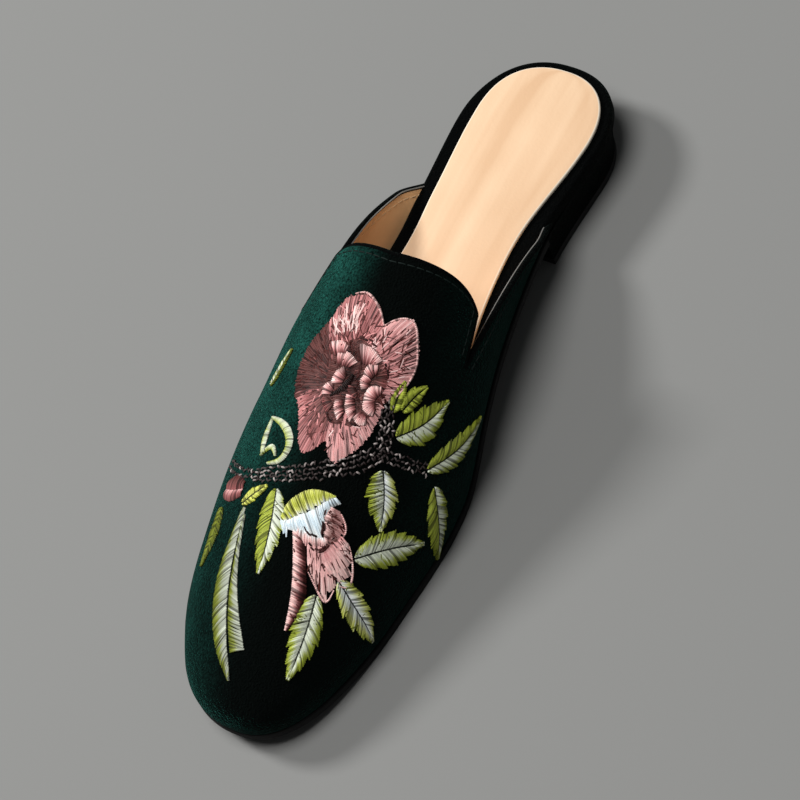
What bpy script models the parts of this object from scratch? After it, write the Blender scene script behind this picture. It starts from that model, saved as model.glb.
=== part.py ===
"""Velvet mule for the right foot, built on one last as six separate solids.

Metres, +Z up, with the floor at z = 0. The toe points to -Y and the big toe's side is +X.
The origin is on the floor, in the middle of the shoe's box.
"""

import math
from collections import namedtuple

import bmesh
import bpy
import numpy as np

MM = 0.001

# Driving dimensions of the last
LENGTH = 247 * MM  # toe tip to the back of the heel seat
TOE_STRETCH = 52 * MM  # the round toe closes over this stretch
HEEL_STRETCH = 30 * MM  # and the round heel over this one
TOE_FULLNESS = 2.2  # exponent of the toe's outline: 2 is an ellipse, more is squarer
HEEL_FULLNESS = 2.3

# Layers of the bottom, and the gap that is left between two pieces that touch
GAP = 0.3 * MM
OUTSOLE_THICK = 3.0 * MM
INSOLE_THICK = 4.2 * MM
INSOLE_ROUNDING = 1.4 * MM
SOCK_THICK = 1.2 * MM
TOP_PIECE_THICK = 3.0 * MM
SOLE_MARGIN = 0.8 * MM  # the outsole stands this far out from the upper
INSOLE_TOE_SETBACK = 8 * MM  # the insole stops this far behind the toe tip
INSOLE_SLACK = 2.2 * MM  # and is this much narrower at the toe, where the wall leans in
SOCK_RIM = 3.4 * MM  # velvet-covered edge of the insole that shows round the sock
SOCK_TOE_SETBACK = 13 * MM

# Heel
BREAST = 187 * MM  # front face of the heel, measured back from the toe tip
HEEL_TAPER = 1.3 * MM  # the heel's foot is this much narrower on each side than its seat
HEEL_BACK_TAPER = 4.8 * MM  # and this much shorter at the back
HEEL_FOOT = (0.0, HEEL_TAPER, HEEL_BACK_TAPER)  # lowest level: share of height, two insets
HEEL_WAIST = 0.5 * MM  # hollow of the heel's sides at half height
HEEL_SEAT_INSET = 0.4 * MM
SEAT_BLEND = 14 * MM  # behind the wings the insole widens to the bare heel seat over this stretch

# Upper: wall, throat and wings
WALL = 1.6 * MM
SWELL_RATE = 3  # the upper has swelled out fully this many times sooner than its arch closes
NOTCH = 124.5 * MM  # bottom of the slit between tongue and wing, back from the toe tip
THROAT = 143.8 * MM  # back edge of the tongue on the centre line
THROAT_DIP_LATERAL = 1.5 * MM  # the edge is this far forward on the centre line of its two sides
THROAT_DIP_MEDIAL = 4.0 * MM
THROAT_CORNER_LATERAL = 3.2 * MM  # rounding of the tongue's two corners
THROAT_CORNER_MEDIAL = 6.0 * MM
CORNER_SHARPNESS = 6  # the higher, the closer to the corner the rounding stays
TONGUE_EDGE_TURN_LATERAL = 12  # degrees of girth that the tongue loses between slit and corner
TONGUE_EDGE_TURN_MEDIAL = 0
TONGUE_EDGE_CURVE = 1.2  # exponent of that loss: 1 is even
TONGUE_LIFT = 0.7 * MM  # the tongue's free edge springs up this far
WING_FOOT_END = 184 * MM  # end of the wing where it meets the outsole
WING_TIP = 191 * MM  # free tip of the wing
WING_TIP_RISE = 1.6 * MM  # height of the tip above the outsole
WING_FLARE_LATERAL = 4.2 * MM  # the free tip stands out this far on the little toe's side
WING_FLARE_MEDIAL = 2.6 * MM  # and this far on the big toe's side
WING_FLARE_START = 144 * MM
WING_CURVE_LATERAL = 1.85  # exponent of the fall of the wing's top edge: 1 is straight
WING_CURVE_MEDIAL = 1.25

# Fineness of the sheets
TOE_COLUMNS = 12
VAMP_COLUMNS = 11
REAR_COLUMNS = 12
GIRTH_ROWS = 15
SLIT_ROW = 6  # the slit starts at this row of the girth
ACROSS = 6
ALONG = 34

# Cross-sections of the last in millimetres, from the toe to the heel.
#   back       distance back from the toe tip
#   centre     middle line of the sole and ridge of the upper, positive towards the big toe
#   lateral    sole edge on the little toe's side, from the middle line
#   medial     sole edge on the big toe's side, from the middle line
#   underside  height of the outsole's underside above the floor
#   rise       height of the upper's ridge above the outsole
#   swell_lat  how far the upper swells out over the sole edge, little toe's side
#   swell_med  the same, big toe's side
#   fullness   exponent of the section's arch: 2 is an ellipse, more is squarer
Section = namedtuple(
    "Section", "back centre lateral medial underside rise swell_lat swell_med fullness"
)
SECTIONS = (
    Section(0, 3.3, 33.1, 27.6, 7.3, 21.0, 1.0, 3.0, 2.20),
    Section(24, 1.6, 34.2, 27.6, 2.8, 24.6, 1.0, 3.0, 2.10),
    Section(52, 0.6, 37.4, 30.2, 0.0, 33.2, 1.5, 2.6, 2.02),
    Section(78, 0.8, 40.4, 32.8, 0.0, 41.8, 2.4, 2.4, 2.00),
    Section(98, 1.2, 39.9, 32.2, 0.4, 47.8, 3.6, 4.0, 2.03),
    Section(124, 0.6, 34.0, 27.8, 6.4, 51.0, 5.4, 6.7, 2.15),
    Section(147, -0.7, 27.6, 25.3, 11.1, 50.4, 5.8, 6.0, 2.20),
    Section(168, -1.3, 25.0, 23.6, 13.1, 50.0, 4.4, 3.4, 2.25),
    Section(187, -0.6, 24.8, 21.8, 14.0, 50.0, 1.9, 1.4, 2.25),
    Section(217, 0.5, 25.9, 22.9, 14.0, 50.0, 1.0, 1.0, 2.25),
    Section(247, 0.6, 25.9, 25.0, 12.4, 50.0, 1.0, 1.0, 2.25),
)

# Colours, linear RGB, with roughness
VELVET_GREEN = ((0.004, 0.036, 0.026), 0.9)
VELVET_DARK = ((0.006, 0.010, 0.009), 0.9)
SOLE_BLACK = ((0.010, 0.010, 0.010), 0.55)
RUBBER_BLACK = ((0.014, 0.014, 0.014), 0.7)
LEATHER_TAN = ((0.80, 0.52, 0.31), 0.5)


def flat_keeping_slopes(places, values):
    """Slopes of a curve through a table that never overshoots its rows and keeps flats flat."""
    steps = np.diff(values) / np.diff(places)
    slopes = np.zeros(len(values))
    slopes[0], slopes[-1] = steps[0], steps[-1]
    for i in range(1, len(values) - 1):
        before, after = steps[i - 1], steps[i]
        if before * after > 0:
            slopes[i] = 2 * before * after / (before + after)
    return slopes


def spline_slopes(places, values):
    """Slopes of the natural cubic spline through a table, which bends evenly all along."""
    count = len(values)
    gaps = np.diff(places)
    steps = np.diff(values) / gaps
    matrix = np.zeros((count, count))
    right = np.zeros(count)
    matrix[0, :2] = 2, 1
    right[0] = 3 * steps[0]
    matrix[-1, -2:] = 1, 2
    right[-1] = 3 * steps[-1]
    for i in range(1, count - 1):
        matrix[i, i - 1 : i + 2] = gaps[i], 2 * (gaps[i - 1] + gaps[i]), gaps[i - 1]
        right[i] = 3 * (gaps[i] * steps[i - 1] + gaps[i - 1] * steps[i])
    return np.linalg.solve(matrix, right)


PLACES = np.array([row.back for row in SECTIONS], float) * MM
COLUMNS = {}
for name in Section._fields[1:]:
    unit = 1 if name == "fullness" else MM
    column = np.array([getattr(row, name) for row in SECTIONS], float) * unit
    find_slopes = flat_keeping_slopes if name == "underside" else spline_slopes
    COLUMNS[name] = (column, find_slopes(PLACES, column))


def last(name, back):
    """One column of the section table, read smoothly at a distance back from the toe tip."""
    values, slopes = COLUMNS[name]
    back = min(max(back, PLACES[0]), PLACES[-1])
    i = min(int(np.searchsorted(PLACES, back, side="right")) - 1, len(PLACES) - 2)
    span = PLACES[i + 1] - PLACES[i]
    t = (back - PLACES[i]) / span
    return float(
        values[i] * (1 + 2 * t) * (1 - t) ** 2
        + slopes[i] * span * t * (1 - t) ** 2
        + values[i + 1] * t * t * (3 - 2 * t)
        + slopes[i + 1] * span * t * t * (t - 1)
    )


def smooth_step(low, high, value):
    t = min(max((value - low) / (high - low), 0), 1)
    return t * t * (3 - 2 * t)


def round_end(distance, stretch, fullness):
    """Share of the full width at a distance from a round end that closes over a stretch."""
    t = 1 - min(max(distance / stretch, 0), 1)
    return (1 - t**fullness) ** (1 / fullness)


def along_y(back):
    """A distance back from the toe tip as a y coordinate."""
    return back - LENGTH / 2


# Footprint of the sole and its layers


def half_width(back, side, inset=0.0, toe_setback=0.0, heel_setback=0.0):
    """Half width of a layer on one side (-1 lateral, 1 medial), set in from the sole's edge."""
    full = last("medial" if side > 0 else "lateral", back) - inset
    toe = round_end(back - toe_setback, TOE_STRETCH - toe_setback, TOE_FULLNESS)
    heel = round_end(LENGTH - heel_setback - back, HEEL_STRETCH - heel_setback, HEEL_FULLNESS)
    return full * toe * heel


def insole_inset(back):
    """The insole lies inside the upper, and reaches the full edge where the heel seat is bare."""
    slack = INSOLE_SLACK * (1 - smooth_step(TOE_STRETCH, NOTCH, back))
    inside = SOLE_MARGIN + WALL + GAP + slack
    return inside * (1 - smooth_step(WING_FOOT_END, WING_FOOT_END + SEAT_BLEND, back))


def outsole_low(back):
    return last("underside", back)


def outsole_high(back):
    return outsole_low(back) + OUTSOLE_THICK


def insole_low(back):
    return outsole_high(back) + GAP


def insole_high(back):
    return insole_low(back) + INSOLE_THICK


def sock_low(back):
    return insole_high(back) + GAP


def sock_high(back):
    return sock_low(back) + SOCK_THICK


# Surface of the upper


def arch_point(back, side, angle):
    """Half section of the upper: (distance from the middle line, height above the outsole)."""
    power = 2 / last("fullness", back)
    swell = last("swell_med" if side > 0 else "swell_lat", back)
    swelled = swell * math.sin(min(SWELL_RATE * angle, math.pi / 2))
    width = half_width(back, side, SOLE_MARGIN) + swelled
    rise = last("rise", back) * round_end(back, TOE_STRETCH, TOE_FULLNESS)
    return width * math.cos(angle) ** power, rise * math.sin(angle) ** power


def feather_height(back):
    """Bottom edge of the upper, just clear of the outsole."""
    return outsole_high(back) + GAP


def side_point(back, side, angle, out=0.0):
    """A point of the upper at a girth angle: 0 on the sole edge, a right angle on the ridge."""
    reach, height = arch_point(back, side, angle)
    x = last("centre", back) + side * (reach + out)
    return x, along_y(back), feather_height(back) + height


def toe_point(turn, side, angle):
    """A point of the round toe, on a line from the ridge to the sole edge at a turn round the toe."""
    power = 2 / TOE_FULLNESS
    ridge_x = last("centre", TOE_STRETCH)
    edge_back = TOE_STRETCH * (1 - math.cos(turn) ** power)
    edge_x = last("centre", edge_back) + side * half_width(edge_back, side, SOLE_MARGIN)
    share = math.cos(angle) ** (2 / last("fullness", TOE_STRETCH))
    back = TOE_STRETCH + share * (edge_back - TOE_STRETCH)
    x = ridge_x + share * (edge_x - ridge_x)
    # The height follows the cross-section that passes through this place in the plan.
    half = half_width(back, side, SOLE_MARGIN)
    across = min(abs(x - last("centre", back)) / half, 1) if half > 0 else 1
    fullness = last("fullness", back)
    rise = last("rise", back) * round_end(back, TOE_STRETCH, TOE_FULLNESS)
    height = rise * (1 - across**fullness) ** (1 / fullness)
    # Swell out over the sole edge, straight away from the toe's middle, alike where the sides meet.
    lateral, medial = last("swell_lat", back), last("swell_med", back)
    swell = (lateral + medial) / 2 + side * (medial - lateral) / 2 * math.sin(turn)
    out = swell * math.sin(min(SWELL_RATE * angle, math.pi / 2)) * share
    away = np.array([x - ridge_x, back - TOE_STRETCH])
    length = np.linalg.norm(away)
    if length > 0:
        x, back = np.array([x, back]) + away / length * out
    return x, along_y(back), feather_height(max(back, 0)) + height


def wing_point(share, side, row_angle, slit_angle):
    """A point of a wing: share 0 at the slit's bottom, 1 at the free tip."""
    climb = row_angle / slit_angle
    end = WING_FOOT_END + climb * (WING_TIP - WING_FOOT_END)
    back = NOTCH + share * (end - NOTCH)
    top_at_slit = arch_point(NOTCH, side, slit_angle)[1]
    curve = WING_CURVE_MEDIAL if side > 0 else WING_CURVE_LATERAL
    top_here = WING_TIP_RISE + (top_at_slit - WING_TIP_RISE) * (1 - share**curve)
    height = arch_point(NOTCH, side, row_angle)[1] * top_here / top_at_slit
    power = last("fullness", back) / 2
    angle = math.asin(min(height / last("rise", back), 1) ** power)
    stand_out = WING_FLARE_MEDIAL if side > 0 else WING_FLARE_LATERAL
    flare = stand_out * climb * smooth_step(WING_FLARE_START, WING_TIP, back)
    x, y, _ = side_point(back, side, angle, flare)
    return x, y, feather_height(back) + height


def tongue_point(share, side, row_angle, slit_angle):
    """A point of the tongue: share 0 at the slit's bottom, 1 at the free edge."""
    inward = (row_angle - slit_angle) / (math.pi / 2 - slit_angle)
    corner = THROAT_CORNER_MEDIAL if side > 0 else THROAT_CORNER_LATERAL
    rounding = corner * (1 - inward) ** CORNER_SHARPNESS
    dip = THROAT_DIP_MEDIAL if side > 0 else THROAT_DIP_LATERAL
    end = THROAT + dip * (1 - inward) - rounding
    back = NOTCH + share * (end - NOTCH)
    turn = TONGUE_EDGE_TURN_MEDIAL if side > 0 else TONGUE_EDGE_TURN_LATERAL
    edge_angle = slit_angle + math.radians(turn) * share**TONGUE_EDGE_CURVE
    angle = edge_angle + inward * (math.pi / 2 - edge_angle)
    x, y, z = side_point(back, side, angle)
    return x, y, z + TONGUE_LIFT * share**2


def upper_point(u, v, on_tongue):
    """Place of a point of the flat blank: u runs round the feather line, v climbs to the ridge."""
    side = 1 if u > 0 else -1
    angle = v * math.pi / 2
    column = abs(u) * (TOE_COLUMNS + VAMP_COLUMNS + REAR_COLUMNS)
    if column <= TOE_COLUMNS:
        return toe_point(column / TOE_COLUMNS * math.pi / 2, side, angle)
    column -= TOE_COLUMNS
    if column <= VAMP_COLUMNS + 1e-6:
        return side_point(
            TOE_STRETCH + column / VAMP_COLUMNS * (NOTCH - TOE_STRETCH), side, angle
        )
    share = (column - VAMP_COLUMNS) / REAR_COLUMNS
    slit_angle = SLIT_ROW / GIRTH_ROWS * math.pi / 2
    place = tongue_point if on_tongue else wing_point
    return place(share, side, angle, slit_angle)


# Building blocks


def material(name, look):
    colour, roughness = look
    made = bpy.data.materials.new(name)
    made.use_nodes = True
    shader = made.node_tree.nodes["Principled BSDF"]
    shader.inputs["Base Color"].default_value = (*colour, 1)
    shader.inputs["Roughness"].default_value = roughness
    return made


def new_object(name, bm, look):
    bmesh.ops.remove_doubles(bm, verts=bm.verts, dist=0.01 * MM)
    bmesh.ops.recalc_face_normals(bm, faces=bm.faces)
    mesh = bpy.data.meshes.new(name)
    bm.to_mesh(mesh)
    bm.free()
    mesh.shade_smooth()
    mesh.set_sharp_from_angle(angle=math.radians(40))
    mesh.materials.append(look)
    made = bpy.data.objects.new(name, mesh)
    bpy.data.collections["velvet_mule"].objects.link(made)
    return made


def slab(name, look, front, rear, inset, low, high, toe_setback=0.0, heel_setback=0.0):
    """A layer of the bottom: a grid over its footprint, extruded between two heights."""
    bm = bmesh.new()
    bmesh.ops.create_grid(bm, x_segments=ACROSS, y_segments=ALONG, size=1)
    lower = list(bm.verts)
    grown = bmesh.ops.extrude_face_region(bm, geom=bm.faces[:])["geom"]
    upper = [v for v in grown if isinstance(v, bmesh.types.BMVert)]
    for verts, height in ((lower, low), (upper, high)):
        for v in verts:
            # Stations crowd towards both ends, where the outline turns.
            share = (1 - math.cos((v.co.y + 1) / 2 * math.pi)) / 2
            back = front + share * (rear - front)
            side = 1 if v.co.x > 0 else -1
            set_in = inset(back)
            half = half_width(back, side, set_in, toe_setback, heel_setback)
            x = last("centre", back) + v.co.x * half
            v.co = (x, along_y(back), height(back))
    return new_object(name, bm, look)


def round_edges(piece, width, segments):
    bevel = piece.modifiers.new("rounded_edge", "BEVEL")
    bevel.width = width
    bevel.segments = segments
    bevel.limit_method = "ANGLE"
    bevel.angle_limit = math.radians(60)


# The pieces


def build_outsole(look):
    return slab(
        "outsole", look, 0, BREAST - GAP, lambda back: 0.0, outsole_low, outsole_high
    )


def build_insole(look):
    piece = slab(
        "insole",
        look,
        INSOLE_TOE_SETBACK,
        LENGTH,
        insole_inset,
        insole_low,
        insole_high,
        toe_setback=INSOLE_TOE_SETBACK,
    )
    round_edges(piece, INSOLE_ROUNDING, 2)
    return piece


def build_sock_lining(look):
    return slab(
        "sock_lining",
        look,
        SOCK_TOE_SETBACK,
        LENGTH - SOCK_RIM,
        lambda back: insole_inset(back) + SOCK_RIM,
        sock_low,
        sock_high,
        toe_setback=SOCK_TOE_SETBACK,
        heel_setback=SOCK_RIM,
    )


def build_heel(look):
    """Block heel: the seat's outline, tapered to the foot and a little hollow half way."""
    bm = bmesh.new()
    bmesh.ops.create_grid(bm, x_segments=ACROSS, y_segments=ALONG // 2, size=1)
    foot = TOP_PIECE_THICK + GAP
    middle = (0.5, HEEL_TAPER / 2 + HEEL_WAIST, HEEL_BACK_TAPER / 2)
    levels = (HEEL_FOOT, middle, (1.0, HEEL_SEAT_INSET, HEEL_SEAT_INSET))
    rings = [list(bm.verts)]
    faces = bm.faces[:]
    for _ in levels[1:]:
        grown = bmesh.ops.extrude_face_region(bm, geom=faces)["geom"]
        rings.append([v for v in grown if isinstance(v, bmesh.types.BMVert)])
        faces = [f for f in grown if isinstance(f, bmesh.types.BMFace)]
    # Only the lowest and the highest layer of faces close the block.
    inner = [f for f in bm.faces if all(v in set(rings[1]) for v in f.verts)]
    bmesh.ops.delete(bm, geom=inner, context="FACES_ONLY")
    for ring, level in zip(rings, levels):
        for v in ring:
            v.co = heel_point(v.co.x, v.co.y, level, foot)
    loose = [v for v in bm.verts if not v.link_faces]
    bmesh.ops.delete(bm, geom=loose, context="VERTS")
    return new_object("heel", bm, look)


def heel_point(across, along, level, foot):
    """A point of the heel on one of its levels: (share of the height, side inset, back inset)."""
    climb, inset, back_inset = level
    share = math.sin((along + 1) / 2 * math.pi / 2)
    rear = LENGTH - back_inset
    back = BREAST + share * (rear - BREAST)
    side = 1 if across > 0 else -1
    side_inset = inset + climb * insole_inset(back)
    half = half_width(back, side, side_inset, heel_setback=back_inset)
    x = last("centre", back) + across * half
    seat = insole_low(back) - GAP
    return x, along_y(back), foot + climb * (seat - foot)


def build_heel_top_piece(look):
    bm = bmesh.new()
    bmesh.ops.create_grid(bm, x_segments=ACROSS, y_segments=ALONG // 2, size=1)
    lower = list(bm.verts)
    grown = bmesh.ops.extrude_face_region(bm, geom=bm.faces[:])["geom"]
    upper = [v for v in grown if isinstance(v, bmesh.types.BMVert)]
    for verts, height in ((lower, 0.0), (upper, TOP_PIECE_THICK)):
        for v in verts:
            v.co = heel_point(v.co.x, v.co.y, HEEL_FOOT, height)
    return new_object("heel_top_piece", bm, look)


def build_upper(look):
    """One sheet: a flat blank with two slits, lasted over the form and given its wall."""
    columns = TOE_COLUMNS + VAMP_COLUMNS + REAR_COLUMNS
    bm = bmesh.new()
    bmesh.ops.create_grid(bm, x_segments=2 * columns, y_segments=GIRTH_ROWS, size=1)
    slit_v = SLIT_ROW / GIRTH_ROWS
    slit_u = (TOE_COLUMNS + VAMP_COLUMNS) / columns
    half_step = 0.5 / columns

    def height(place):
        return (place.y + 1) / 2

    slits = [
        e
        for e in bm.edges
        if all(abs(height(v.co) - slit_v) < 1e-4 for v in e.verts)
        and min(abs(v.co.x) for v in e.verts) > slit_u - half_step
    ]
    bmesh.ops.split_edges(bm, edges=slits)
    places = {}
    for v in bm.verts:
        faces = [f.calc_center_median() for f in v.link_faces]
        on_tongue = sum(height(c) for c in faces) / len(faces) > slit_v
        places[v] = upper_point(v.co.x, height(v.co), on_tongue)
    for v, place in places.items():
        v.co = place
    piece = new_object("upper", bm, look)
    wall = piece.modifiers.new("wall", "SOLIDIFY")
    wall.thickness = WALL
    wall.offset = -1
    wall.use_even_offset = True
    wall.use_quality_normals = True
    return piece


def centre_on_origin(pieces):
    """Moves the pieces so that the origin is below the middle of their box."""
    points = np.array([v.co for piece in pieces for v in piece.data.vertices])
    low, high = points.min(0), points.max(0)
    for v in (v for piece in pieces for v in piece.data.vertices):
        v.co.x -= (low[0] + high[0]) / 2
        v.co.y -= (low[1] + high[1]) / 2


def main():
    for old in list(bpy.data.objects):
        bpy.data.objects.remove(old)
    parts = bpy.data.collections.new("velvet_mule")
    bpy.context.scene.collection.children.link(parts)
    velvet = material("velvet_green", VELVET_GREEN)
    dark_velvet = material("velvet_dark", VELVET_DARK)
    pieces = [
        build_outsole(material("sole_black", SOLE_BLACK)),
        build_insole(dark_velvet),
        build_sock_lining(material("leather_tan", LEATHER_TAN)),
        build_heel(dark_velvet),
        build_heel_top_piece(material("rubber_black", RUBBER_BLACK)),
        build_upper(velvet),
    ]
    centre_on_origin(pieces)


main()
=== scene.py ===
"""Looks of the embroidered velvet mule for the right foot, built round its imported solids.

Shapes are worked out in millimetres in the shoe's own frame: x across, positive towards the
big toe, back from the toe tip, and height above the floor. to_frame() brings them into metres.
A side is -1 towards the little toe (lateral) or 1 towards the big toe (medial).
The embroidery is drawn on the vamp's flat pattern: across along the surface from the ridge,
positive towards the big toe, and back from the toe tip.
"""

import math
from collections import namedtuple

import bmesh
import bpy
import numpy as np
from mathutils import Matrix, Vector


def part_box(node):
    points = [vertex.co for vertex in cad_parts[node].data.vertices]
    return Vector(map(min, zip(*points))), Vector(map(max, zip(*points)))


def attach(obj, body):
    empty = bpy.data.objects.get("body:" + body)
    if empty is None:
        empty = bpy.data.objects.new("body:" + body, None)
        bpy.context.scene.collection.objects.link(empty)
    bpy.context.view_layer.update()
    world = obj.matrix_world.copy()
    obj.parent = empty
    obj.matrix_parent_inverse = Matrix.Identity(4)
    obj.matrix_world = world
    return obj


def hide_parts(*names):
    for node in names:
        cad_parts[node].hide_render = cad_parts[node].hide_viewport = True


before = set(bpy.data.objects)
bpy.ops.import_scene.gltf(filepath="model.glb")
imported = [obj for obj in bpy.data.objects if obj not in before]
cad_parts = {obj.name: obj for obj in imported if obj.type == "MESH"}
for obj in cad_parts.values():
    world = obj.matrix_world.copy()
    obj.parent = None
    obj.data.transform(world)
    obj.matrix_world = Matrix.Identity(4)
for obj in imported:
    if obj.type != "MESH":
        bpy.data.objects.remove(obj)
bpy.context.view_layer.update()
rng = np.random.default_rng(7)

MM = 0.001
TINY = 1e-12
MERGE_DISTANCE = 0.01 * MM
GRID_SLACK = 1e-4
RIGHT_ANGLE = math.pi / 2
SHARP_ANGLE = math.radians(50)

# Sizes of the last and its layers, as in the solids
LENGTH = 247.0
TOE_STRETCH = 52.0
HEEL_STRETCH = 30.0
TOE_FULLNESS = 2.2
HEEL_FULLNESS = 2.3
GAP = 0.3
OUTSOLE_THICK = 3.0
INSOLE_THICK = 4.2
SOCK_THICK = 1.2
TOP_PIECE_THICK = 3.0
SOLE_MARGIN = 0.8
INSOLE_TOE_SETBACK = 8.0
INSOLE_SLACK = 2.2
SOCK_RIM = 3.4
SOCK_TOE_SETBACK = 13.0
BREAST = 187.0
HEEL_TAPER = 1.3
HEEL_BACK_TAPER = 4.8
HEEL_WAIST = 0.5
HEEL_SEAT_INSET = 0.4
WALL = 1.6
SWELL_RATE = 3
NOTCH = 124.5
THROAT = 143.8
THROAT_DIP = {-1: 1.5, 1: 4.0}
THROAT_CORNER = {-1: 3.2, 1: 6.0}
CORNER_SHARPNESS = 6
TONGUE_EDGE_TURN = {-1: math.radians(12), 1: 0.0}
TONGUE_EDGE_CURVE = 1.2
TONGUE_LIFT = 0.7
WING_FOOT_END = 184.0
WING_TIP = 191.0
WING_TIP_RISE = 1.6
WING_FLARE = {-1: 4.2, 1: 2.6}
WING_FLARE_START = 144.0
WING_CURVE = {-1: 1.85, 1: 1.25}

# Shares of the upper's flat blank: round the toe, along the vamp, behind the slit and up the girth
TOE_SHARE = 12
VAMP_SHARE = 11
REAR_SHARE = 12
BLANK_SHARE = TOE_SHARE + VAMP_SHARE + REAR_SHARE
GIRTH_SHARE = 15
SLIT_SHARE = 6
SLIT_ANGLE = SLIT_SHARE / GIRTH_SHARE * RIGHT_ANGLE

# Levels of the layers above the shoe's underside
OUTSOLE_TOP = OUTSOLE_THICK
INSOLE_FOOT = OUTSOLE_TOP + GAP
INSOLE_TOP = INSOLE_FOOT + INSOLE_THICK
SOCK_FOOT = INSOLE_TOP + GAP
SOCK_TOP = SOCK_FOOT + SOCK_THICK
UPPER_FOOT = OUTSOLE_TOP + GAP

# Where the looks depart a little from the solids. The wings' tips close in, and the insole's cover
# and the sock change their widths. Each stretch runs from where a change starts to where it is full.
TIP_CLOSING = 0.8
TIP_STRETCH = (0.84, 1.0)
COVER_BULGE = 1.3
BULGE_STRETCH = (105, 140)
BARE_SEAT_STRETCH = (172, 214)
COVER_OVERHANG = 0.9
OVERHANG_FRONT = (168, 188)
OVERHANG_REAR = (236, 212)
SOCK_WAIST = 4.2
WAIST_FRONT = (85, 125)
WAIST_REAR = (222, 150)
SOCK_LATERAL = 1.0
LATERAL_FRONT = (120, 170)
LATERAL_REAR = (240, 216)

# Sections of the last, as in the solids
Section = namedtuple(
    "Section", "back centre lateral medial underside rise swell_lat swell_med fullness"
)
SECTIONS = (
    Section(0, 3.3, 33.1, 27.6, 7.3, 21.0, 1.0, 3.0, 2.20),
    Section(24, 1.6, 34.2, 27.6, 2.8, 24.6, 1.0, 3.0, 2.10),
    Section(52, 0.6, 37.4, 30.2, 0.0, 33.2, 1.5, 2.6, 2.02),
    Section(78, 0.8, 40.4, 32.8, 0.0, 41.8, 2.4, 2.4, 2.00),
    Section(98, 1.2, 39.9, 32.2, 0.4, 47.8, 3.6, 4.0, 2.03),
    Section(124, 0.6, 34.0, 27.8, 6.4, 51.0, 5.4, 6.7, 2.15),
    Section(147, -0.7, 27.6, 25.3, 11.1, 50.4, 5.8, 6.0, 2.20),
    Section(168, -1.3, 25.0, 23.6, 13.1, 50.0, 4.4, 3.4, 2.25),
    Section(187, -0.6, 24.8, 21.8, 14.0, 50.0, 1.9, 1.4, 2.25),
    Section(217, 0.5, 25.9, 22.9, 14.0, 50.0, 1.0, 1.0, 2.25),
    Section(247, 0.6, 25.9, 25.0, 12.4, 50.0, 1.0, 1.0, 2.25),
)


def srgb(red, green, blue):
    """A colour as an eye reads it off a screen, 0 to 255, as linear red, green and blue."""
    share = np.array([red, green, blue], float) / 255
    return np.where(share <= 0.04045, share / 12.92, ((share + 0.055) / 1.055) ** 2.4)


def unit(vectors):
    return vectors / np.maximum(np.linalg.norm(vectors, axis=-1, keepdims=True), TINY)


def distances_along(path):
    """How far along a path each of its points lies."""
    steps = np.linalg.norm(np.diff(path, axis=0), axis=1)
    return np.concatenate([[0], np.cumsum(steps)])


# The last in arrays


def flat_keeping_slopes(places, values):
    """Slopes of a curve through a table that never overshoots its rows and keeps flats flat."""
    steps = np.diff(values) / np.diff(places)
    slopes = np.zeros(len(values))
    slopes[0], slopes[-1] = steps[0], steps[-1]
    for i in range(1, len(values) - 1):
        before, after = steps[i - 1], steps[i]
        if before * after > 0:
            slopes[i] = 2 * before * after / (before + after)
    return slopes


def spline_slopes(places, values):
    """Slopes of the natural cubic spline through a table, for one column or several."""
    count = len(places)
    gaps = np.diff(places)
    steps = np.diff(values, axis=0)
    steps = steps / gaps.reshape(-1, *[1] * (steps.ndim - 1))
    matrix = np.zeros((count, count))
    right = np.zeros(np.shape(values))
    matrix[0, :2] = 2, 1
    right[0] = 3 * steps[0]
    matrix[-1, -2:] = 1, 2
    right[-1] = 3 * steps[-1]
    for i in range(1, count - 1):
        matrix[i, i - 1 : i + 2] = gaps[i], 2 * (gaps[i - 1] + gaps[i]), gaps[i - 1]
        right[i] = 3 * (gaps[i] * steps[i - 1] + gaps[i - 1] * steps[i])
    return np.linalg.solve(matrix, right)


def read_curve(places, values, slopes, where):
    """The cubic through a table with given slopes, read at one or many places."""
    where = np.clip(where, places[0], places[-1])
    i = np.clip(np.searchsorted(places, where, side="right") - 1, 0, len(places) - 2)
    span = places[i + 1] - places[i]
    t = (where - places[i]) / span
    if values.ndim > 1:
        span, t = span[..., None], t[..., None]
    return (
        values[i] * (1 + 2 * t) * (1 - t) ** 2
        + slopes[i] * span * t * (1 - t) ** 2
        + values[i + 1] * t * t * (3 - 2 * t)
        + slopes[i + 1] * span * t * t * (t - 1)
    )


PLACES = np.array([row.back for row in SECTIONS], float)
COLUMNS = {}
for column_name in Section._fields[1:]:
    column = np.array([getattr(row, column_name) for row in SECTIONS], float)
    find_slopes = flat_keeping_slopes if column_name == "underside" else spline_slopes
    COLUMNS[column_name] = (column, find_slopes(PLACES, column))


def last(name, back):
    return read_curve(PLACES, *COLUMNS[name], np.asarray(back, float))


def smooth_step(low, high, value):
    t = np.clip((value - low) / (high - low), 0, 1)
    return t * t * (3 - 2 * t)


def between(front, rear, back):
    """1 on the stretch between two ends, easing to 0 past them."""
    return smooth_step(*front, back) * smooth_step(*rear, back)


def on_side(values, side):
    """The value for the side that each point lies on."""
    return np.where(side > 0, values[1], values[-1])


def round_end(distance, stretch, fullness):
    """Share of the full width at a distance from a round end that closes over a stretch."""
    t = 1 - np.clip(distance / stretch, 0, 1)
    return (1 - t**fullness) ** (1 / fullness)


def half_width(back, side, inset=0.0, toe_setback=0.0, heel_setback=0.0):
    """Half width of a layer on one side (-1 lateral, 1 medial), set in from the sole's edge."""
    full = np.where(side > 0, last("medial", back), last("lateral", back)) - inset
    toe = round_end(back - toe_setback, TOE_STRETCH - toe_setback, TOE_FULLNESS)
    heel = round_end(LENGTH - heel_setback - back, HEEL_STRETCH - heel_setback, HEEL_FULLNESS)
    return full * toe * heel


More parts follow.
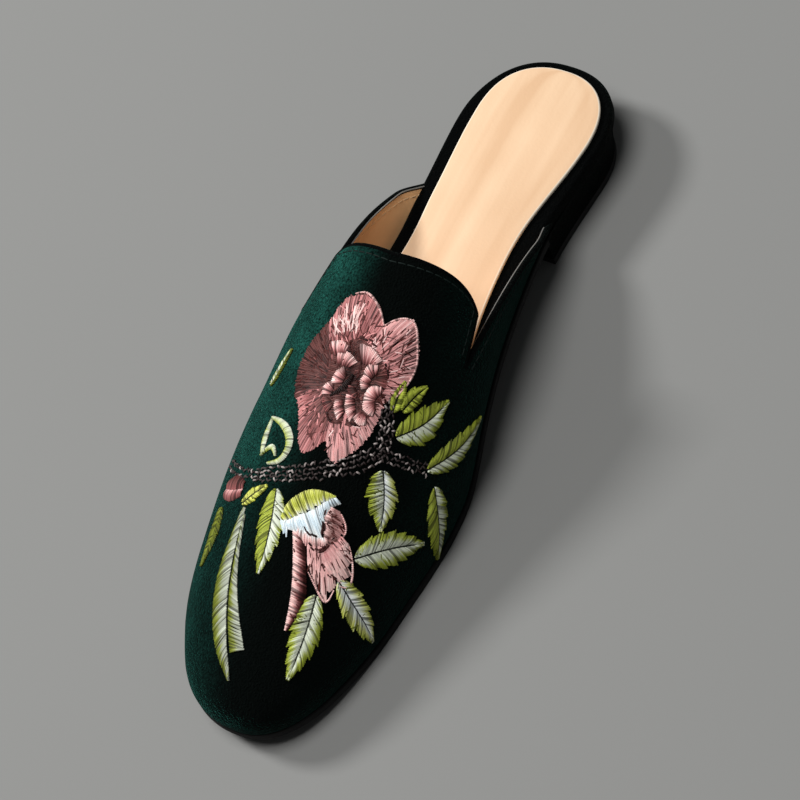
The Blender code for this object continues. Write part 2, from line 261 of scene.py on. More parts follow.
def cover_inset(back, side):
    """The insole cover lies against the upper's inner face, and comes out over the bare seat."""
    slack = INSOLE_SLACK * (1 - smooth_step(TOE_STRETCH, NOTCH, back))
    bulge = COVER_BULGE * smooth_step(*BULGE_STRETCH, back)
    inside = SOLE_MARGIN + WALL + GAP + slack - bulge
    overhang = COVER_OVERHANG * between(OVERHANG_FRONT, OVERHANG_REAR, back)
    seated = inside * (1 - smooth_step(*BARE_SEAT_STRETCH, back))
    return seated - np.where(side < 0, overhang, 0.0)


def sock_inset(back, side):
    """The sock leaves a rim of the cover bare, wider in the waist and beside the heel seat."""
    medial = SOCK_WAIST * between(WAIST_FRONT, WAIST_REAR, back)
    lateral = (SOCK_LATERAL + COVER_OVERHANG) * between(LATERAL_FRONT, LATERAL_REAR, back)
    return cover_inset(back, side) + SOCK_RIM + np.where(side > 0, medial, lateral)


def level(back, above):
    """Height of a layer's face that lies a given distance above the shoe's underside."""
    return last("underside", back) + above


def arch_point(back, side, angle):
    """Half section of the upper: (distance from the middle line, height above the outsole)."""
    power = 2 / last("fullness", back)
    swell = np.where(side > 0, last("swell_med", back), last("swell_lat", back))
    swelled = swell * np.sin(np.minimum(SWELL_RATE * angle, RIGHT_ANGLE))
    width = half_width(back, side, SOLE_MARGIN) + swelled
    rise = last("rise", back) * round_end(back, TOE_STRETCH, TOE_FULLNESS)
    return width * np.abs(np.cos(angle)) ** power, rise * np.sin(angle) ** power


def side_point(back, side, angle, out=0.0):
    """Points of the upper at a girth angle: 0 on the sole edge, a right angle on the ridge."""
    reach, height = arch_point(back, side, angle)
    x = last("centre", back) + side * (reach + out)
    return np.stack(np.broadcast_arrays(x, back, level(back, UPPER_FOOT) + height), -1)


def toe_point(turn, side, angle):
    """Points of the round toe, on lines from the ridge to the sole edge at a turn round the toe."""
    ridge_x = last("centre", TOE_STRETCH)
    edge_back = TOE_STRETCH * (1 - np.abs(np.cos(turn)) ** (2 / TOE_FULLNESS))
    edge_x = last("centre", edge_back) + side * half_width(edge_back, side, SOLE_MARGIN)
    share = np.abs(np.cos(angle)) ** (2 / last("fullness", TOE_STRETCH))
    back = TOE_STRETCH + share * (edge_back - TOE_STRETCH)
    x = ridge_x + share * (edge_x - ridge_x)
    half = np.maximum(half_width(back, side, SOLE_MARGIN), TINY)
    across = np.clip(np.abs(x - last("centre", back)) / half, 0, 1)
    fullness = last("fullness", back)
    rise = last("rise", back) * round_end(back, TOE_STRETCH, TOE_FULLNESS)
    height = rise * (1 - across**fullness) ** (1 / fullness)
    lateral, medial = last("swell_lat", back), last("swell_med", back)
    swell = (lateral + medial) / 2 + side * (medial - lateral) / 2 * np.sin(turn)
    out = swell * np.sin(np.minimum(SWELL_RATE * angle, RIGHT_ANGLE)) * share
    away = unit(np.stack([x - ridge_x, back - TOE_STRETCH], -1))
    x = x + away[..., 0] * out
    back = back + away[..., 1] * out
    return np.stack([x, back, level(np.maximum(back, 0), UPPER_FOOT) + height], -1)


def wing_point(share, side, row_angle):
    """Points of a wing: share 0 at the slit's bottom, 1 at the free tip."""
    climb = row_angle / SLIT_ANGLE
    end = WING_FOOT_END + climb * (WING_TIP - WING_FOOT_END)
    back = NOTCH + share * (end - NOTCH)
    top_at_slit = arch_point(NOTCH, side, SLIT_ANGLE)[1]
    fall = share ** on_side(WING_CURVE, side)
    top_here = WING_TIP_RISE + (top_at_slit - WING_TIP_RISE) * (1 - fall)
    height = arch_point(NOTCH, side, row_angle)[1] * top_here / top_at_slit
    power = last("fullness", back) / 2
    angle = np.arcsin(np.minimum(height / last("rise", back), 1) ** power)
    flare = on_side(WING_FLARE, side) * climb * smooth_step(WING_FLARE_START, WING_TIP, back)
    flare = flare * (1 - TIP_CLOSING * smooth_step(*TIP_STRETCH, share))
    points = side_point(back, side, angle, flare)
    points[..., 2] = level(back, UPPER_FOOT) + height
    return points


def tongue_point(share, side, row_angle):
    """Points of the tongue: share 0 at the slit's bottom, 1 at the free edge."""
    inward = (row_angle - SLIT_ANGLE) / (RIGHT_ANGLE - SLIT_ANGLE)
    rounding = on_side(THROAT_CORNER, side) * np.abs(1 - inward) ** CORNER_SHARPNESS
    end = THROAT + on_side(THROAT_DIP, side) * (1 - inward) - rounding
    back = NOTCH + share * (end - NOTCH)
    edge_angle = SLIT_ANGLE + on_side(TONGUE_EDGE_TURN, side) * share**TONGUE_EDGE_CURVE
    points = side_point(back, side, edge_angle + inward * (RIGHT_ANGLE - edge_angle))
    points[..., 2] += TONGUE_LIFT * share**2
    return points


def upper_points(u, v, on_tongue):
    """Places of points of the flat blank: u runs round the feather line, v climbs to the ridge."""
    side = np.where(u > 0, 1, -1)
    angle = v * RIGHT_ANGLE
    column = np.abs(u) * BLANK_SHARE
    toe = toe_point(np.clip(column / TOE_SHARE, 0, 1) * RIGHT_ANGLE, side, angle)
    along = np.clip((column - TOE_SHARE) / VAMP_SHARE, 0, 1)
    vamp = side_point(TOE_STRETCH + along * (NOTCH - TOE_STRETCH), side, angle)
    share = np.clip((column - TOE_SHARE - VAMP_SHARE) / REAR_SHARE, 0, 1)
    wing = wing_point(share, side, np.minimum(angle, SLIT_ANGLE))
    tongue = tongue_point(share, side, np.maximum(angle, SLIT_ANGLE))
    rear = np.where(on_tongue[:, None], tongue, wing)
    front = np.where((column <= TOE_SHARE)[:, None], toe, vamp)
    return np.where((column > TOE_SHARE + VAMP_SHARE + GRID_SLACK)[:, None], rear, front)


def find_offset():
    """Where the shoe's own origin, under the toe tip, lies in the frame, from the outsole's box."""
    low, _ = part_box("outsole")
    backs = np.linspace(0, BREAST, 400)
    widest = (last("centre", backs) - half_width(backs, -1)).min()
    return np.array([low.x - widest * MM, low.y, 0.0])


OFFSET = find_offset()


def to_frame(points):
    return np.asarray(points) * MM + OFFSET


# Meshes


def place_in_scene(name, data):
    placed = bpy.data.objects.new(name, data)
    bpy.context.scene.collection.objects.link(placed)
    return placed


def new_piece(name, mesh, finish, replaces=()):
    """Makes an object of a finished mesh, at the origin, riding on the shoe's one body."""
    mesh.shade_smooth()
    mesh.set_sharp_from_angle(angle=SHARP_ANGLE)
    mesh.materials.append(finish)
    piece = place_in_scene(name, mesh)
    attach(piece, "root")
    if replaces:
        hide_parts(*replaces)
    return piece


def to_mesh(bm, name):
    mesh = bpy.data.meshes.new(name)
    bm.to_mesh(mesh)
    bm.free()
    return mesh


def closed_mesh(bm, name):
    """A mesh with its seams merged, its open ends filled and its faces pointing outwards."""
    bmesh.ops.remove_doubles(bm, verts=bm.verts, dist=MERGE_DISTANCE)
    bmesh.ops.holes_fill(bm, edges=[e for e in bm.edges if e.is_boundary], sides=0)
    bmesh.ops.recalc_face_normals(bm, faces=bm.faces)
    return to_mesh(bm, name)


def set_places(verts, points):
    for v, place in zip(verts, to_frame(points)):
        v.co = place


def vertex_array(verts):
    return np.array([v.co for v in verts])


def bend_tube(bm, path, ups, radius, sides):
    """A round tube with closed ends along a path: a grid whose rows are bent into rings."""
    stations = len(path) - 1
    verts = bmesh.ops.create_grid(bm, x_segments=sides, y_segments=stations, size=1)["verts"]
    blank = vertex_array(verts)
    station = np.rint((blank[:, 1] + 1) / 2 * stations).astype(int)
    turn = ((blank[:, 0] + 1) * math.pi)[:, None]
    across = unit(np.cross(np.gradient(path, axis=0), ups))
    closing = np.minimum(np.minimum(station, stations - station) / 2, 1)[:, None]
    reach = radius * np.sqrt(closing * (2 - closing))
    round_it = across[station] * np.cos(turn) + ups[station] * np.sin(turn)
    set_places(verts, path[station] + reach * round_it)


THREAD_SIDES = 6


def stitch_blank(stations):
    """One stitch before it is laid: an upright tube with closed ends, cut into rings."""
    bm = bmesh.new()
    bmesh.ops.create_cone(
        bm, cap_ends=True, segments=THREAD_SIDES, radius1=1, radius2=1, depth=2
    )
    upright = [e for e in bm.edges if e.verts[0].co.z * e.verts[1].co.z < 0]
    bmesh.ops.subdivide_edges(bm, edges=upright, cuts=stations - 2)
    return to_mesh(bm, "stitch_blank")


def lay_stitches(name, centres, ups, half_across, half_high, colours):
    """Many stitches in one mesh, from arrays of (stitch, station): each an oval along its path."""
    stitches, stations = centres.shape[:2]
    blank = stitch_blank(stations)
    bm = bmesh.new()
    for _ in range(stitches):
        bm.from_mesh(blank)
    mesh = to_mesh(bm, name)
    spots = vertex_array(blank.vertices)
    bpy.data.meshes.remove(blank)
    ring = np.rint((spots[:, 2] + 1) / 2 * (stations - 1)).astype(int)
    across = unit(np.cross(np.gradient(centres, axis=1), ups))
    places = (
        centres[:, ring]
        + across[:, ring] * (half_across[:, ring] * spots[:, 1])[..., None]
        + ups[:, ring] * (half_high[:, ring] * spots[:, 0])[..., None]
    )
    mesh.vertices.foreach_set("co", to_frame(places).astype(np.float32).ravel())
    tint = mesh.attributes.new("thread_colour", "FLOAT_COLOR", "POINT")
    opaque = np.ones((*places.shape[:2], 4), np.float32)
    opaque[..., :3] = colours[:, ring]
    tint.data.foreach_set("color", opaque.ravel())
    mesh.update()
    return mesh


# Shader writing


class Wire:
    """A shader socket that takes part in Python sums."""

    def __init__(self, finish, socket):
        self.finish = finish
        self.socket = socket

    def sum(self, operation, first, second):
        return self.finish.node("ShaderNodeMath", {"operation": operation}, {0: first, 1: second})

    def __add__(self, other):
        return self.sum("ADD", self, other)

    __radd__ = __add__

    def __mul__(self, other):
        return self.sum("MULTIPLY", self, other)

    __rmul__ = __mul__

    def __sub__(self, other):
        return self.sum("SUBTRACT", self, other)

    def __rsub__(self, other):
        return self.sum("SUBTRACT", other, self)


class Finish:
    """One material: constants go on the shader's own sockets, wires to what varies."""

    def __init__(self, name, **constants):
        self.material = bpy.data.materials.new(name)
        self.material.use_nodes = True
        self.tree = self.material.node_tree
        self.shader = self.tree.nodes["Principled BSDF"]
        for socket, value in constants.items():
            self.shader.inputs[socket.replace("_", " ")].default_value = value
        self.place = self.node("ShaderNodeTexCoord", output="Object")

    def node(self, kind, settings=None, sockets=None, output=0):
        made = self.tree.nodes.new(kind)
        for key, value in (settings or {}).items():
            setattr(made, key, value)
        for key, value in (sockets or {}).items():
            self.join(made.inputs[key], value)
        return Wire(self, made.outputs[output])

    def join(self, socket, value):
        if isinstance(value, Wire):
            self.tree.links.new(value.socket, socket)
        else:
            socket.default_value = value

    def noise(self, size, detail=2.0, stretch=(1, 1, 1)):
        """Even noise with blotches of a size in millimetres, from 0 to 1."""
        scaled = self.node(
            "ShaderNodeMapping", {"vector_type": "POINT"}, {"Vector": self.place, "Scale": stretch}
        )
        return self.node(
            "ShaderNodeTexNoise",
            {"noise_dimensions": "3D"},
            {"Vector": scaled, "Scale": 1 / (size * MM), "Detail": detail},
            output="Fac",
        )

    def spread(self, value, low, high):
        """Stretches a value so that low reads 0 and high reads 1, and clips it there."""
        return self.node(
            "ShaderNodeMapRange", {"clamp": True}, {"Value": value, "From Min": low, "From Max": high}
        )

    def blend(self, share, first, second):
        """A colour between two colours or colour wires."""
        first, second = (c if isinstance(c, Wire) else (*c, 1) for c in (first, second))
        return self.node(
            "ShaderNodeMix", {"data_type": "RGBA"}, {0: share, 6: first, 7: second}, output=2
        )

    def feed(self, colour=None, roughness=None, height=None, relief=0.1):
        """Links what varies: colour, roughness, and a height for bump with its relief in mm."""
        if colour is not None:
            self.join(self.shader.inputs["Base Color"], colour)
        if roughness is not None:
            self.join(self.shader.inputs["Roughness"], roughness)
        if height is not None:
            normal = self.node(
                "ShaderNodeBump", {}, {"Strength": 1.0, "Distance": relief * MM, "Height": height}
            )
            self.join(self.shader.inputs["Normal"], normal)
        return self.material


# Finishes


def velvet(name, deep, lit, tint):
    """Cut pile: near black face on; its base colour turns green as painted side light where the mesh
    carries it, with painted glints, and a green sheen at grazing angles.
    """
    finish = Finish(
        name,
        Specular_IOR_Level=0.06,
        Sheen_Weight=1.0,
        Sheen_Roughness=0.22,
        Sheen_Tint=(*tint, 1),
    )
    tufts = finish.noise(0.7, detail=4)
    pile_patches = finish.noise(9, detail=2, stretch=(1, 0.6, 1))
    pile = finish.spread(tufts, 0.3, 0.75)
    # Painted glints in the pile, and painted side light: a green base colour where the mesh marks the side
    # facing the key lamp.
    painted_glints = finish.spread(finish.noise(0.85, detail=2), 0.66, 0.76)
    painted_light = finish.node("ShaderNodeAttribute", {"attribute_name": "painted_light"}, output="Fac")
    share = painted_light * (pile * (0.6 + 0.8 * finish.spread(pile_patches, 0.3, 0.7)) + 0.8 * painted_glints)
    roughness = 1.0 - 0.2 * pile
    return finish.feed(finish.blend(share, deep, lit), roughness, tufts + 0.6 * pile_patches, relief=1.1)


def leather(name, pale, dark, roughness, streaks, relief, cut_edge_highlight=None):
    """Smooth lining leather with fine grain, faint streaks along the shoe, painted shade from its shade
    attribute, and a paler cut edge that is partly a painted highlight.
    """
    finish = Finish(name, Specular_IOR_Level=0.35, Sheen_Weight=0.12, Sheen_Roughness=0.5)
    grain = finish.node(
        "ShaderNodeTexVoronoi",
        {"feature": "SMOOTH_F1"},
        {"Vector": finish.place, "Scale": 1 / (0.9 * MM)},
        output="Distance",
    )
    bands = finish.noise(9, detail=3, stretch=(1, 0.06, 1))
    clouds = finish.noise(22, detail=3)
    shade = finish.node("ShaderNodeAttribute", {"attribute_name": "shade"}, output="Fac")
    share = finish.spread(streaks * bands + (1 - streaks) * clouds, 0.35, 0.7) + shade
    colour = finish.blend(share, pale, dark)
    # The pale cut edge is partly the leather's own edge and partly a painted highlight.
    if cut_edge_highlight is not None:
        colour = finish.blend(finish.spread(shade, 0.0, -1.0), colour, cut_edge_highlight)
    rough = roughness + 0.12 * (clouds - 0.5) + 0.06 * grain
    return finish.feed(colour, rough, grain + 0.5 * finish.noise(0.35), relief=relief)


def sole_stock(name, colour, wear_and_shade, roughness, grain_size):
    """Dark sole stock with a matt grain, a little greyer in patches."""
    finish = Finish(name, Specular_IOR_Level=0.22)
    grain = finish.noise(grain_size, detail=4)
    patches = finish.spread(finish.noise(14, detail=3), 0.4, 0.75)
    shade = finish.blend(patches * grain, colour, wear_and_shade)
    return finish.feed(shade, roughness + 0.2 * (grain - 0.5), grain, relief=0.12)


def thread(name, roughness, lustre):
    """Thread: each stitch carries its own colour, with a fine twist along it."""
    finish = Finish(name, Specular_IOR_Level=lustre)
    own = finish.node("ShaderNodeAttribute", {"attribute_name": "thread_colour"}, output="Color")
    twist = finish.noise(0.22, detail=2)
    shade = finish.node(
        "ShaderNodeHueSaturation", {}, {"Color": own, "Value": 0.82 + 0.36 * twist}
    )
    return finish.feed(shade, roughness + 0.2 * (twist - 0.5), twist, relief=0.05)


def floor_finish():
    finish = Finish("studio_floor", Roughness=0.9, Specular_IOR_Level=0.2)
    tone = finish.noise(300, detail=2)
    return finish.feed(finish.blend(tone, srgb(138, 138, 136), srgb(142, 142, 140)))


VELVET = velvet("velvet_green", srgb(0, 3, 2), srgb(30, 88, 78), srgb(34, 92, 82))
DARK_VELVET = velvet("velvet_dark", srgb(1, 2, 2), srgb(10, 13, 12), srgb(26, 38, 34))
SOCK_LEATHER = leather(
    "sock_leather",
    srgb(246, 210, 172),
    srgb(229, 188, 148),
    roughness=0.5,
    streaks=0.75,
    relief=0.03,
    # The sock's pale cut edge, partly a painted highlight.
    cut_edge_highlight=srgb(255, 240, 218),
)
LINING_LEATHER = leather(
    "lining_leather",
    srgb(238, 188, 134),
    srgb(220, 166, 112),
    roughness=0.55,
    streaks=0.4,
    relief=0.05,
)
# The lining's folded edge: its grey is a painted highlight.
EDGE_HIGHLIGHT = leather(
    "edge_highlight", srgb(150, 147, 142), srgb(70, 68, 65), roughness=0.5, streaks=0.2, relief=0.05
)
OUTSOLE_STOCK = sole_stock(
    "outsole_stock", srgb(7, 7, 7), srgb(18, 17, 16), roughness=0.75, grain_size=0.8
)
RUBBER = sole_stock("heel_rubber", srgb(26, 26, 26), srgb(52, 51, 49), roughness=0.62, grain_size=0.5)
SATIN_THREAD = thread("satin_thread", roughness=0.5, lustre=0.14)
SEWING_THREAD = thread("sewing_thread", roughness=0.75, lustre=0.2)


# Upper: velvet, lining, rolled topline and its seam


# Fineness of the shown sheets: steps for each share of the blank
COLUMN_STEPS = 5
ROW_STEPS = 4

# Layers of the upper's wall, from the outside in
VELVET_THICK = 0.9
LINING_THICK = 0.6

# Painted side light: the velvet's base colour is made green on the little toe's side, which faces the key
# lamp, less towards the toe.
# The big toe's side gets a little of it too. Limits are shares of a normal that faces that way.
LIT_SIDE = np.array([-0.95, -0.08, 0.3])
LIT_SIDE_LIMITS = (0.3, 0.85)
INSIDE_LIGHT = 0.08
INSIDE_LIGHT_LIMITS = (0.5, 1.0)
SIDE_LIGHT_AT_TOE = 0.3
SIDE_LIGHT_STRETCH = (52, 92)

# Each crease runs from start to end; a positive depth is a trough and a negative one a ridge.
Crease = namedtuple("Crease", "start end width depth")
CREASES = (
    Crease((-38, 150, 24), (-34, 128, 34), 4.0, 0.5),
    Crease((33, 148, 26), (33, 127, 34), 4.0, 0.4),
    Crease((-28, 118, 46), (-36, 104, 36), 6.0, 0.45),
    Crease((-34, 112, 45), (-41, 98, 31), 5.0, -0.35),
    Crease((24, 118, 46), (31, 105, 36), 6.0, 0.4),
    Crease((-20, 12, 12), (-28, 26, 14), 5.0, 0.35),
)
CREASE_FADE = 0.15


def soft_creases(points):
    """How far the velvet sinks or stands at each point: soft troughs and ridges as listed."""
    sink = np.zeros(len(points))
    for crease in CREASES:
        start, end = np.array(crease.start), np.array(crease.end)
        along = end - start
        t = np.clip((points - start) @ along / (along @ along), 0, 1)
        away = np.linalg.norm(points - (start + t[:, None] * along), axis=1)
        fade = np.sin(math.pi * (CREASE_FADE + (1 - 2 * CREASE_FADE) * t))
        sink += crease.depth * np.exp(-((away / crease.width) ** 2)) * fade
    return sink


def side_light_share(points, normals):
    """How much painted side light the velvet's base colour takes at each point, from 0 to about 1."""
    toe_to_vamp = SIDE_LIGHT_AT_TOE + (1 - SIDE_LIGHT_AT_TOE) * smooth_step(*SIDE_LIGHT_STRETCH, points[:, 1])
    outside = smooth_step(*LIT_SIDE_LIMITS, normals @ LIT_SIDE)
    inside = INSIDE_LIGHT * smooth_step(*INSIDE_LIGHT_LIMITS, normals[:, 0])
    return toe_to_vamp * (outside + inside)


def lasted_sheet(name, outer):
    """The blank with its two slits, lasted over the form, a distance below the outer face."""
    bm = bmesh.new()
    bmesh.ops.create_grid(
        bm, x_segments=2 * BLANK_SHARE * COLUMN_STEPS, y_segments=GIRTH_SHARE * ROW_STEPS, size=1
    )
    slit_v = SLIT_ANGLE / RIGHT_ANGLE
    slit_u = (TOE_SHARE + VAMP_SHARE) / BLANK_SHARE
    half_step = 0.5 / BLANK_SHARE / COLUMN_STEPS

    def on_slit(v):
        return abs((v.co.y + 1) / 2 - slit_v) < GRID_SLACK and abs(v.co.x) > slit_u - half_step

    bmesh.ops.split_edges(bm, edges=[e for e in bm.edges if all(on_slit(v) for v in e.verts)])
    verts = list(bm.verts)
    blank = vertex_array(verts)
    middles = np.array([np.mean([f.calc_center_median().y for f in v.link_faces]) for v in verts])
    on_tongue = (middles + 1) / 2 > slit_v
    set_places(verts, upper_points(blank[:, 0], (blank[:, 1] + 1) / 2, on_tongue))
    bmesh.ops.remove_doubles(bm, verts=bm.verts, dist=MERGE_DISTANCE)
    bmesh.ops.recalc_face_normals(bm, faces=bm.faces)
    bm.normal_update()
    verts = list(bm.verts)
    normals = np.array([v.normal for v in verts])
    points = (vertex_array(verts) - OFFSET) / MM
    rim = np.array([v.is_boundary for v in verts])
    depth = outer + np.where(rim, 0.0, soft_creases(points))
    set_places(verts, points - normals * depth[:, None])
    mesh = to_mesh(bm, name)
    # Painted side light for the velvet's base colour, from which way each point faces.
    painted_light = mesh.attributes.new("painted_light", "FLOAT", "POINT")
    painted_light.data.foreach_set("value", side_light_share(points, normals))
    return mesh


def give_wall(piece, thick):
    wall = piece.modifiers.new("wall", "SOLIDIFY")
    wall.thickness = thick * MM
    wall.offset = -1
    wall.use_even_offset = True
    wall.use_quality_normals = True


WING_STATIONS = 90
WING_FOOT_STATIONS = 12
TONGUE_STATIONS = 30
NEAR_EDGE = 0.01
SMALL_STEP = 1e-3
FOOT_SHARE = 0.02
FOOT_ANGLE = 0.02
INWARD_SHARE = 0.04


def wing_edge():
    """The wing's free edge from its foot at the back, over the tip, down to the slit's bottom."""
    up = np.linspace(FOOT_SHARE, 1, WING_FOOT_STATIONS)
    along = np.linspace(1, 0, WING_STATIONS)[1:]
    shares = np.concatenate([np.ones(len(up)), along])
    angles = np.concatenate([up, np.ones(len(along))]) * SLIT_ANGLE
    return shares, angles


def tongue_edge():
    """The tongue's free edge from the slit's bottom to the middle of the throat."""
    side_run = np.linspace(0, 1, TONGUE_STATIONS)
    inward = np.linspace(0, 1, 2 * TONGUE_STATIONS)[1:]
    shares = np.concatenate([side_run, np.ones(len(inward))])
    climb = np.concatenate([np.zeros(len(side_run)), inward])
    return shares, SLIT_ANGLE + climb * (RIGHT_ANGLE - SLIT_ANGLE)


def edge_normals(place, side, shares, angles, lowest, highest):
    """Outward unit normals along a wing's or the tongue's edge, from small steps just inside it."""
    shares = np.clip(shares, NEAR_EDGE, 1 - NEAR_EDGE)
    angles = np.clip(angles, lowest, highest * (1 - NEAR_EDGE))
    along = place(shares + SMALL_STEP, side, angles) - place(shares - SMALL_STEP, side, angles)
    climb = place(shares, side, angles + SMALL_STEP) - place(shares, side, angles - SMALL_STEP)
    normals = unit(np.cross(along, climb))
    facing = normals[:, 2] + side * normals[:, 0]
    return normals * np.sign(facing)[:, None]


def even_path(points, normals, spacing):
    """The same path with stations at an even spacing."""
    lengths = distances_along(points)
    where = np.linspace(0, lengths[-1], max(int(lengths[-1] / spacing), 2))
    columns = [np.interp(where, lengths, column) for column in (*points.T, *normals.T)]
    placed = np.array(columns).T
    return placed[:, :3], unit(placed[:, 3:])


def topline_paths(inset):
    """The free edges of the wings and the tongue on the outer face, a distance in from the edge."""
    paths, halves = [], []
    for side in (-1, 1):
        shares, angles = wing_edge()
        edge = wing_point(shares, side, angles)
        inside = wing_point(np.minimum(shares, 1 - NEAR_EDGE), side, angles * (1 - INWARD_SHARE))
        normals = edge_normals(wing_point, side, shares, angles, FOOT_ANGLE, SLIT_ANGLE)
        paths.append((edge, inside, normals))
        shares, angles = tongue_edge()
        edge = tongue_point(shares, side, angles)
        higher = angles + (RIGHT_ANGLE - angles) * INWARD_SHARE
        inside = tongue_point(shares * (1 - INWARD_SHARE), side, higher)
        normals = edge_normals(tongue_point, side, shares, angles, SLIT_ANGLE, RIGHT_ANGLE)
        halves.append((edge, inside, normals))
    paths.append([np.concatenate([left, right[::-1][1:]]) for left, right in zip(*halves)])
    return [(edge + unit(inside - edge) * inset, normals) for edge, inside, normals in paths]


ROLL_STEP = 0.8


def edge_roll(name, inset, depth, radius, sides):
    """A round roll along each of the free edges, its middle a depth below the outer face."""
    bm = bmesh.new()
    for edge, normals in topline_paths(inset):
        edge, normals = even_path(edge, normals, ROLL_STEP)
        bend_tube(bm, edge - normals * depth, normals, radius, sides)
    return closed_mesh(bm, name)


def build_topline_roll():
    """Velvet turned over the free edges, as one soft roll on each wing and one on the tongue."""
    mesh = edge_roll("topline_roll", inset=0.25, depth=WALL / 2, radius=0.95, sides=10)
    new_piece("topline_roll", mesh, DARK_VELVET)


def build_lining_edge():
    """Folded edge of the lining, a thin pale grey line inside the rolled topline: its grey is a painted
    highlight along the edge.
    """
    mesh = edge_roll("lining_edge", inset=0.1, depth=WALL + 0.2, radius=0.24, sides=8)
    new_piece("lining_edge", mesh, EDGE_HIGHLIGHT)


SEAM_DARK = srgb(14, 26, 23)
SEAM_TAN = srgb(226, 190, 146)
SEAM_INSET = 2.6
SEAM_STEP = 0.6
SEAM_RISE = np.array([-0.12, 0.05, 0.1, 0.05, -0.12])[:, None]
SEAM_HALF = 0.2
SEAM_FLATNESS = 0.8


def build_topline_seam():
    """Lockstitch beside the free edges: dark on the velvet, tan where it shows on the lining."""
    centres, normals_of, colours = [], [], []
    stations = len(SEAM_RISE)
    for edge, normals in topline_paths(SEAM_INSET):
        placed, ups = even_path(edge, normals, SEAM_STEP)
        for start in range(2, len(placed) - stations - 1, stations):
            run = placed[start : start + stations]
            up = ups[start : start + stations]
            centres += [run + up * SEAM_RISE, run - up * (WALL + SEAM_RISE)]
            normals_of += [up, up]
            colours += [np.tile(SEAM_DARK, (stations, 1)), np.tile(SEAM_TAN, (stations, 1))]
    half = np.full((len(centres), stations), SEAM_HALF)
    mesh = lay_stitches(
        "topline_seam",
        np.array(centres),
        np.array(normals_of),
        half,
        half * SEAM_FLATNESS,
        np.array(colours),
    )
    new_piece("topline_seam", mesh, SEWING_THREAD)


def build_upper():
    """Builds the upper's layers and edges, and unrolls the vamp for the embroidery."""
    mesh = lasted_sheet("velvet_upper", 0.0)
    velvet_sheet = new_piece("velvet_upper", mesh, VELVET, ["upper"])
    vamp = unroll_vamp(velvet_sheet)
    give_wall(velvet_sheet, VELVET_THICK)
    mesh = lasted_sheet("upper_lining", WALL - LINING_THICK)
    lining = new_piece("upper_lining", mesh, LINING_LEATHER)
    give_wall(lining, LINING_THICK)
    build_topline_roll()
    build_lining_edge()
    build_topline_seam()
    return vamp


# Bottom: outsole, insole cover, sock and heel


# One ring of a layer's edge: how far it is set in, whether it hangs on the low or the high face,
# and how far it lies above that face.
Ring = namedtuple("Ring", "inset on_high above")


def rounded_rings(radius, steps):
    """Rings from the layer's foot, up its side and over a rounded top edge."""
    rings = [Ring(0.0, False, 0.0), Ring(0.0, True, -radius)]
    for i in range(1, steps + 1):
        turn = i / steps * RIGHT_ANGLE
        rings.append(Ring(radius * (1 - math.cos(turn)), True, radius * (math.sin(turn) - 1)))
    return rings


ALONG_STEPS = 150
MIDDLE_STEPS = 16
UNDER_RINGS = (Ring(0.0, False, 0.0), Ring(2.0, False, 0.0))
DOME_HALF_WIDTH = 20

# Painted shade along the sock: bands with their place across it, half width and strength
SHADE_BANDS = ((-0.42, 0.16, 0.7), (0.72, 0.14, 0.45))
# Mark for the pale cut edge, which is partly a painted highlight.
CUT_EDGE_HIGHLIGHT = -1.0


def sock_shade(across, on_face):
    """Painted shade along the sock: a band to the little toe's side, one inside, and a paler cut edge that
    is partly a painted highlight.
    """
    wear_and_shade = sum(
        strength * np.exp(-(((across - place) / width) ** 2)) for place, width, strength in SHADE_BANDS
    )
    return np.where(on_face, wear_and_shade, CUT_EDGE_HIGHLIGHT)


# Where a layer starts and ends, and how far its toe and heel curves are set back.
Extent = namedtuple("Extent", "front rear toe_setback heel_setback")


def layer_face(bm, rings, extent, inset, heights, dome, square_rear, shade):
    """One face of a layer with its edge: a grid whose outer columns are the rings of the edge."""
    columns = 2 * len(rings) - 2 + MIDDLE_STEPS
    verts = bmesh.ops.create_grid(bm, x_segments=columns, y_segments=ALONG_STEPS, size=1)["verts"]
    blank = vertex_array(verts)
    column = np.rint((blank[:, 0] + 1) / 2 * columns).astype(int)
    ring = np.minimum(np.minimum(column, columns - column), len(rings) - 1)
    set_in, on_high, above = (np.array(values)[ring] for values in zip(*rings))
    share = (1 - np.cos((blank[:, 1] + 1) / 2 * math.pi)) / 2
    first_back = extent.front + set_in
    last_back = extent.rear - (0 if square_rear else set_in)
    back = first_back + share * (last_back - first_back)
    side = np.where(column * 2 > columns, 1, -1)
    reach = half_width(
        back,
        side,
        inset(back, side) + set_in,
        extent.toe_setback + set_in,
        extent.heel_setback + set_in,
    )
    middle = np.clip((column - columns / 2) / (MIDDLE_STEPS / 2), -1, 1)
    x = last("centre", back) + middle * reach
    low, high = heights
    height = level(back, np.where(on_high, high, low)) + above
    height = height + dome * (1 - middle**2) * np.clip(reach / DOME_HALF_WIDTH, 0, 1)
    set_places(verts, np.stack([x, back, height], -1))
    # The sock's painted shade bands and pale cut edge go on its points.
    if shade:
        wear_and_shade = bm.verts.layers.float["shade"]
        for v, value in zip(verts, shade(middle, ring == len(rings) - 1)):
            v[wear_and_shade] = value


def layer(name, rings, extent, inset, heights, dome=0.0, square_rear=False, shade=None):
    """A closed layer of the bottom: its upper face with the edge, and its flat lower face."""
    bm = bmesh.new()
    if shade:
        bm.verts.layers.float.new("shade")
    layer_face(bm, rings, extent, inset, heights, dome, square_rear, shade)
    layer_face(bm, UNDER_RINGS, extent, inset, heights, 0.0, square_rear, shade)
    return closed_mesh(bm, name)


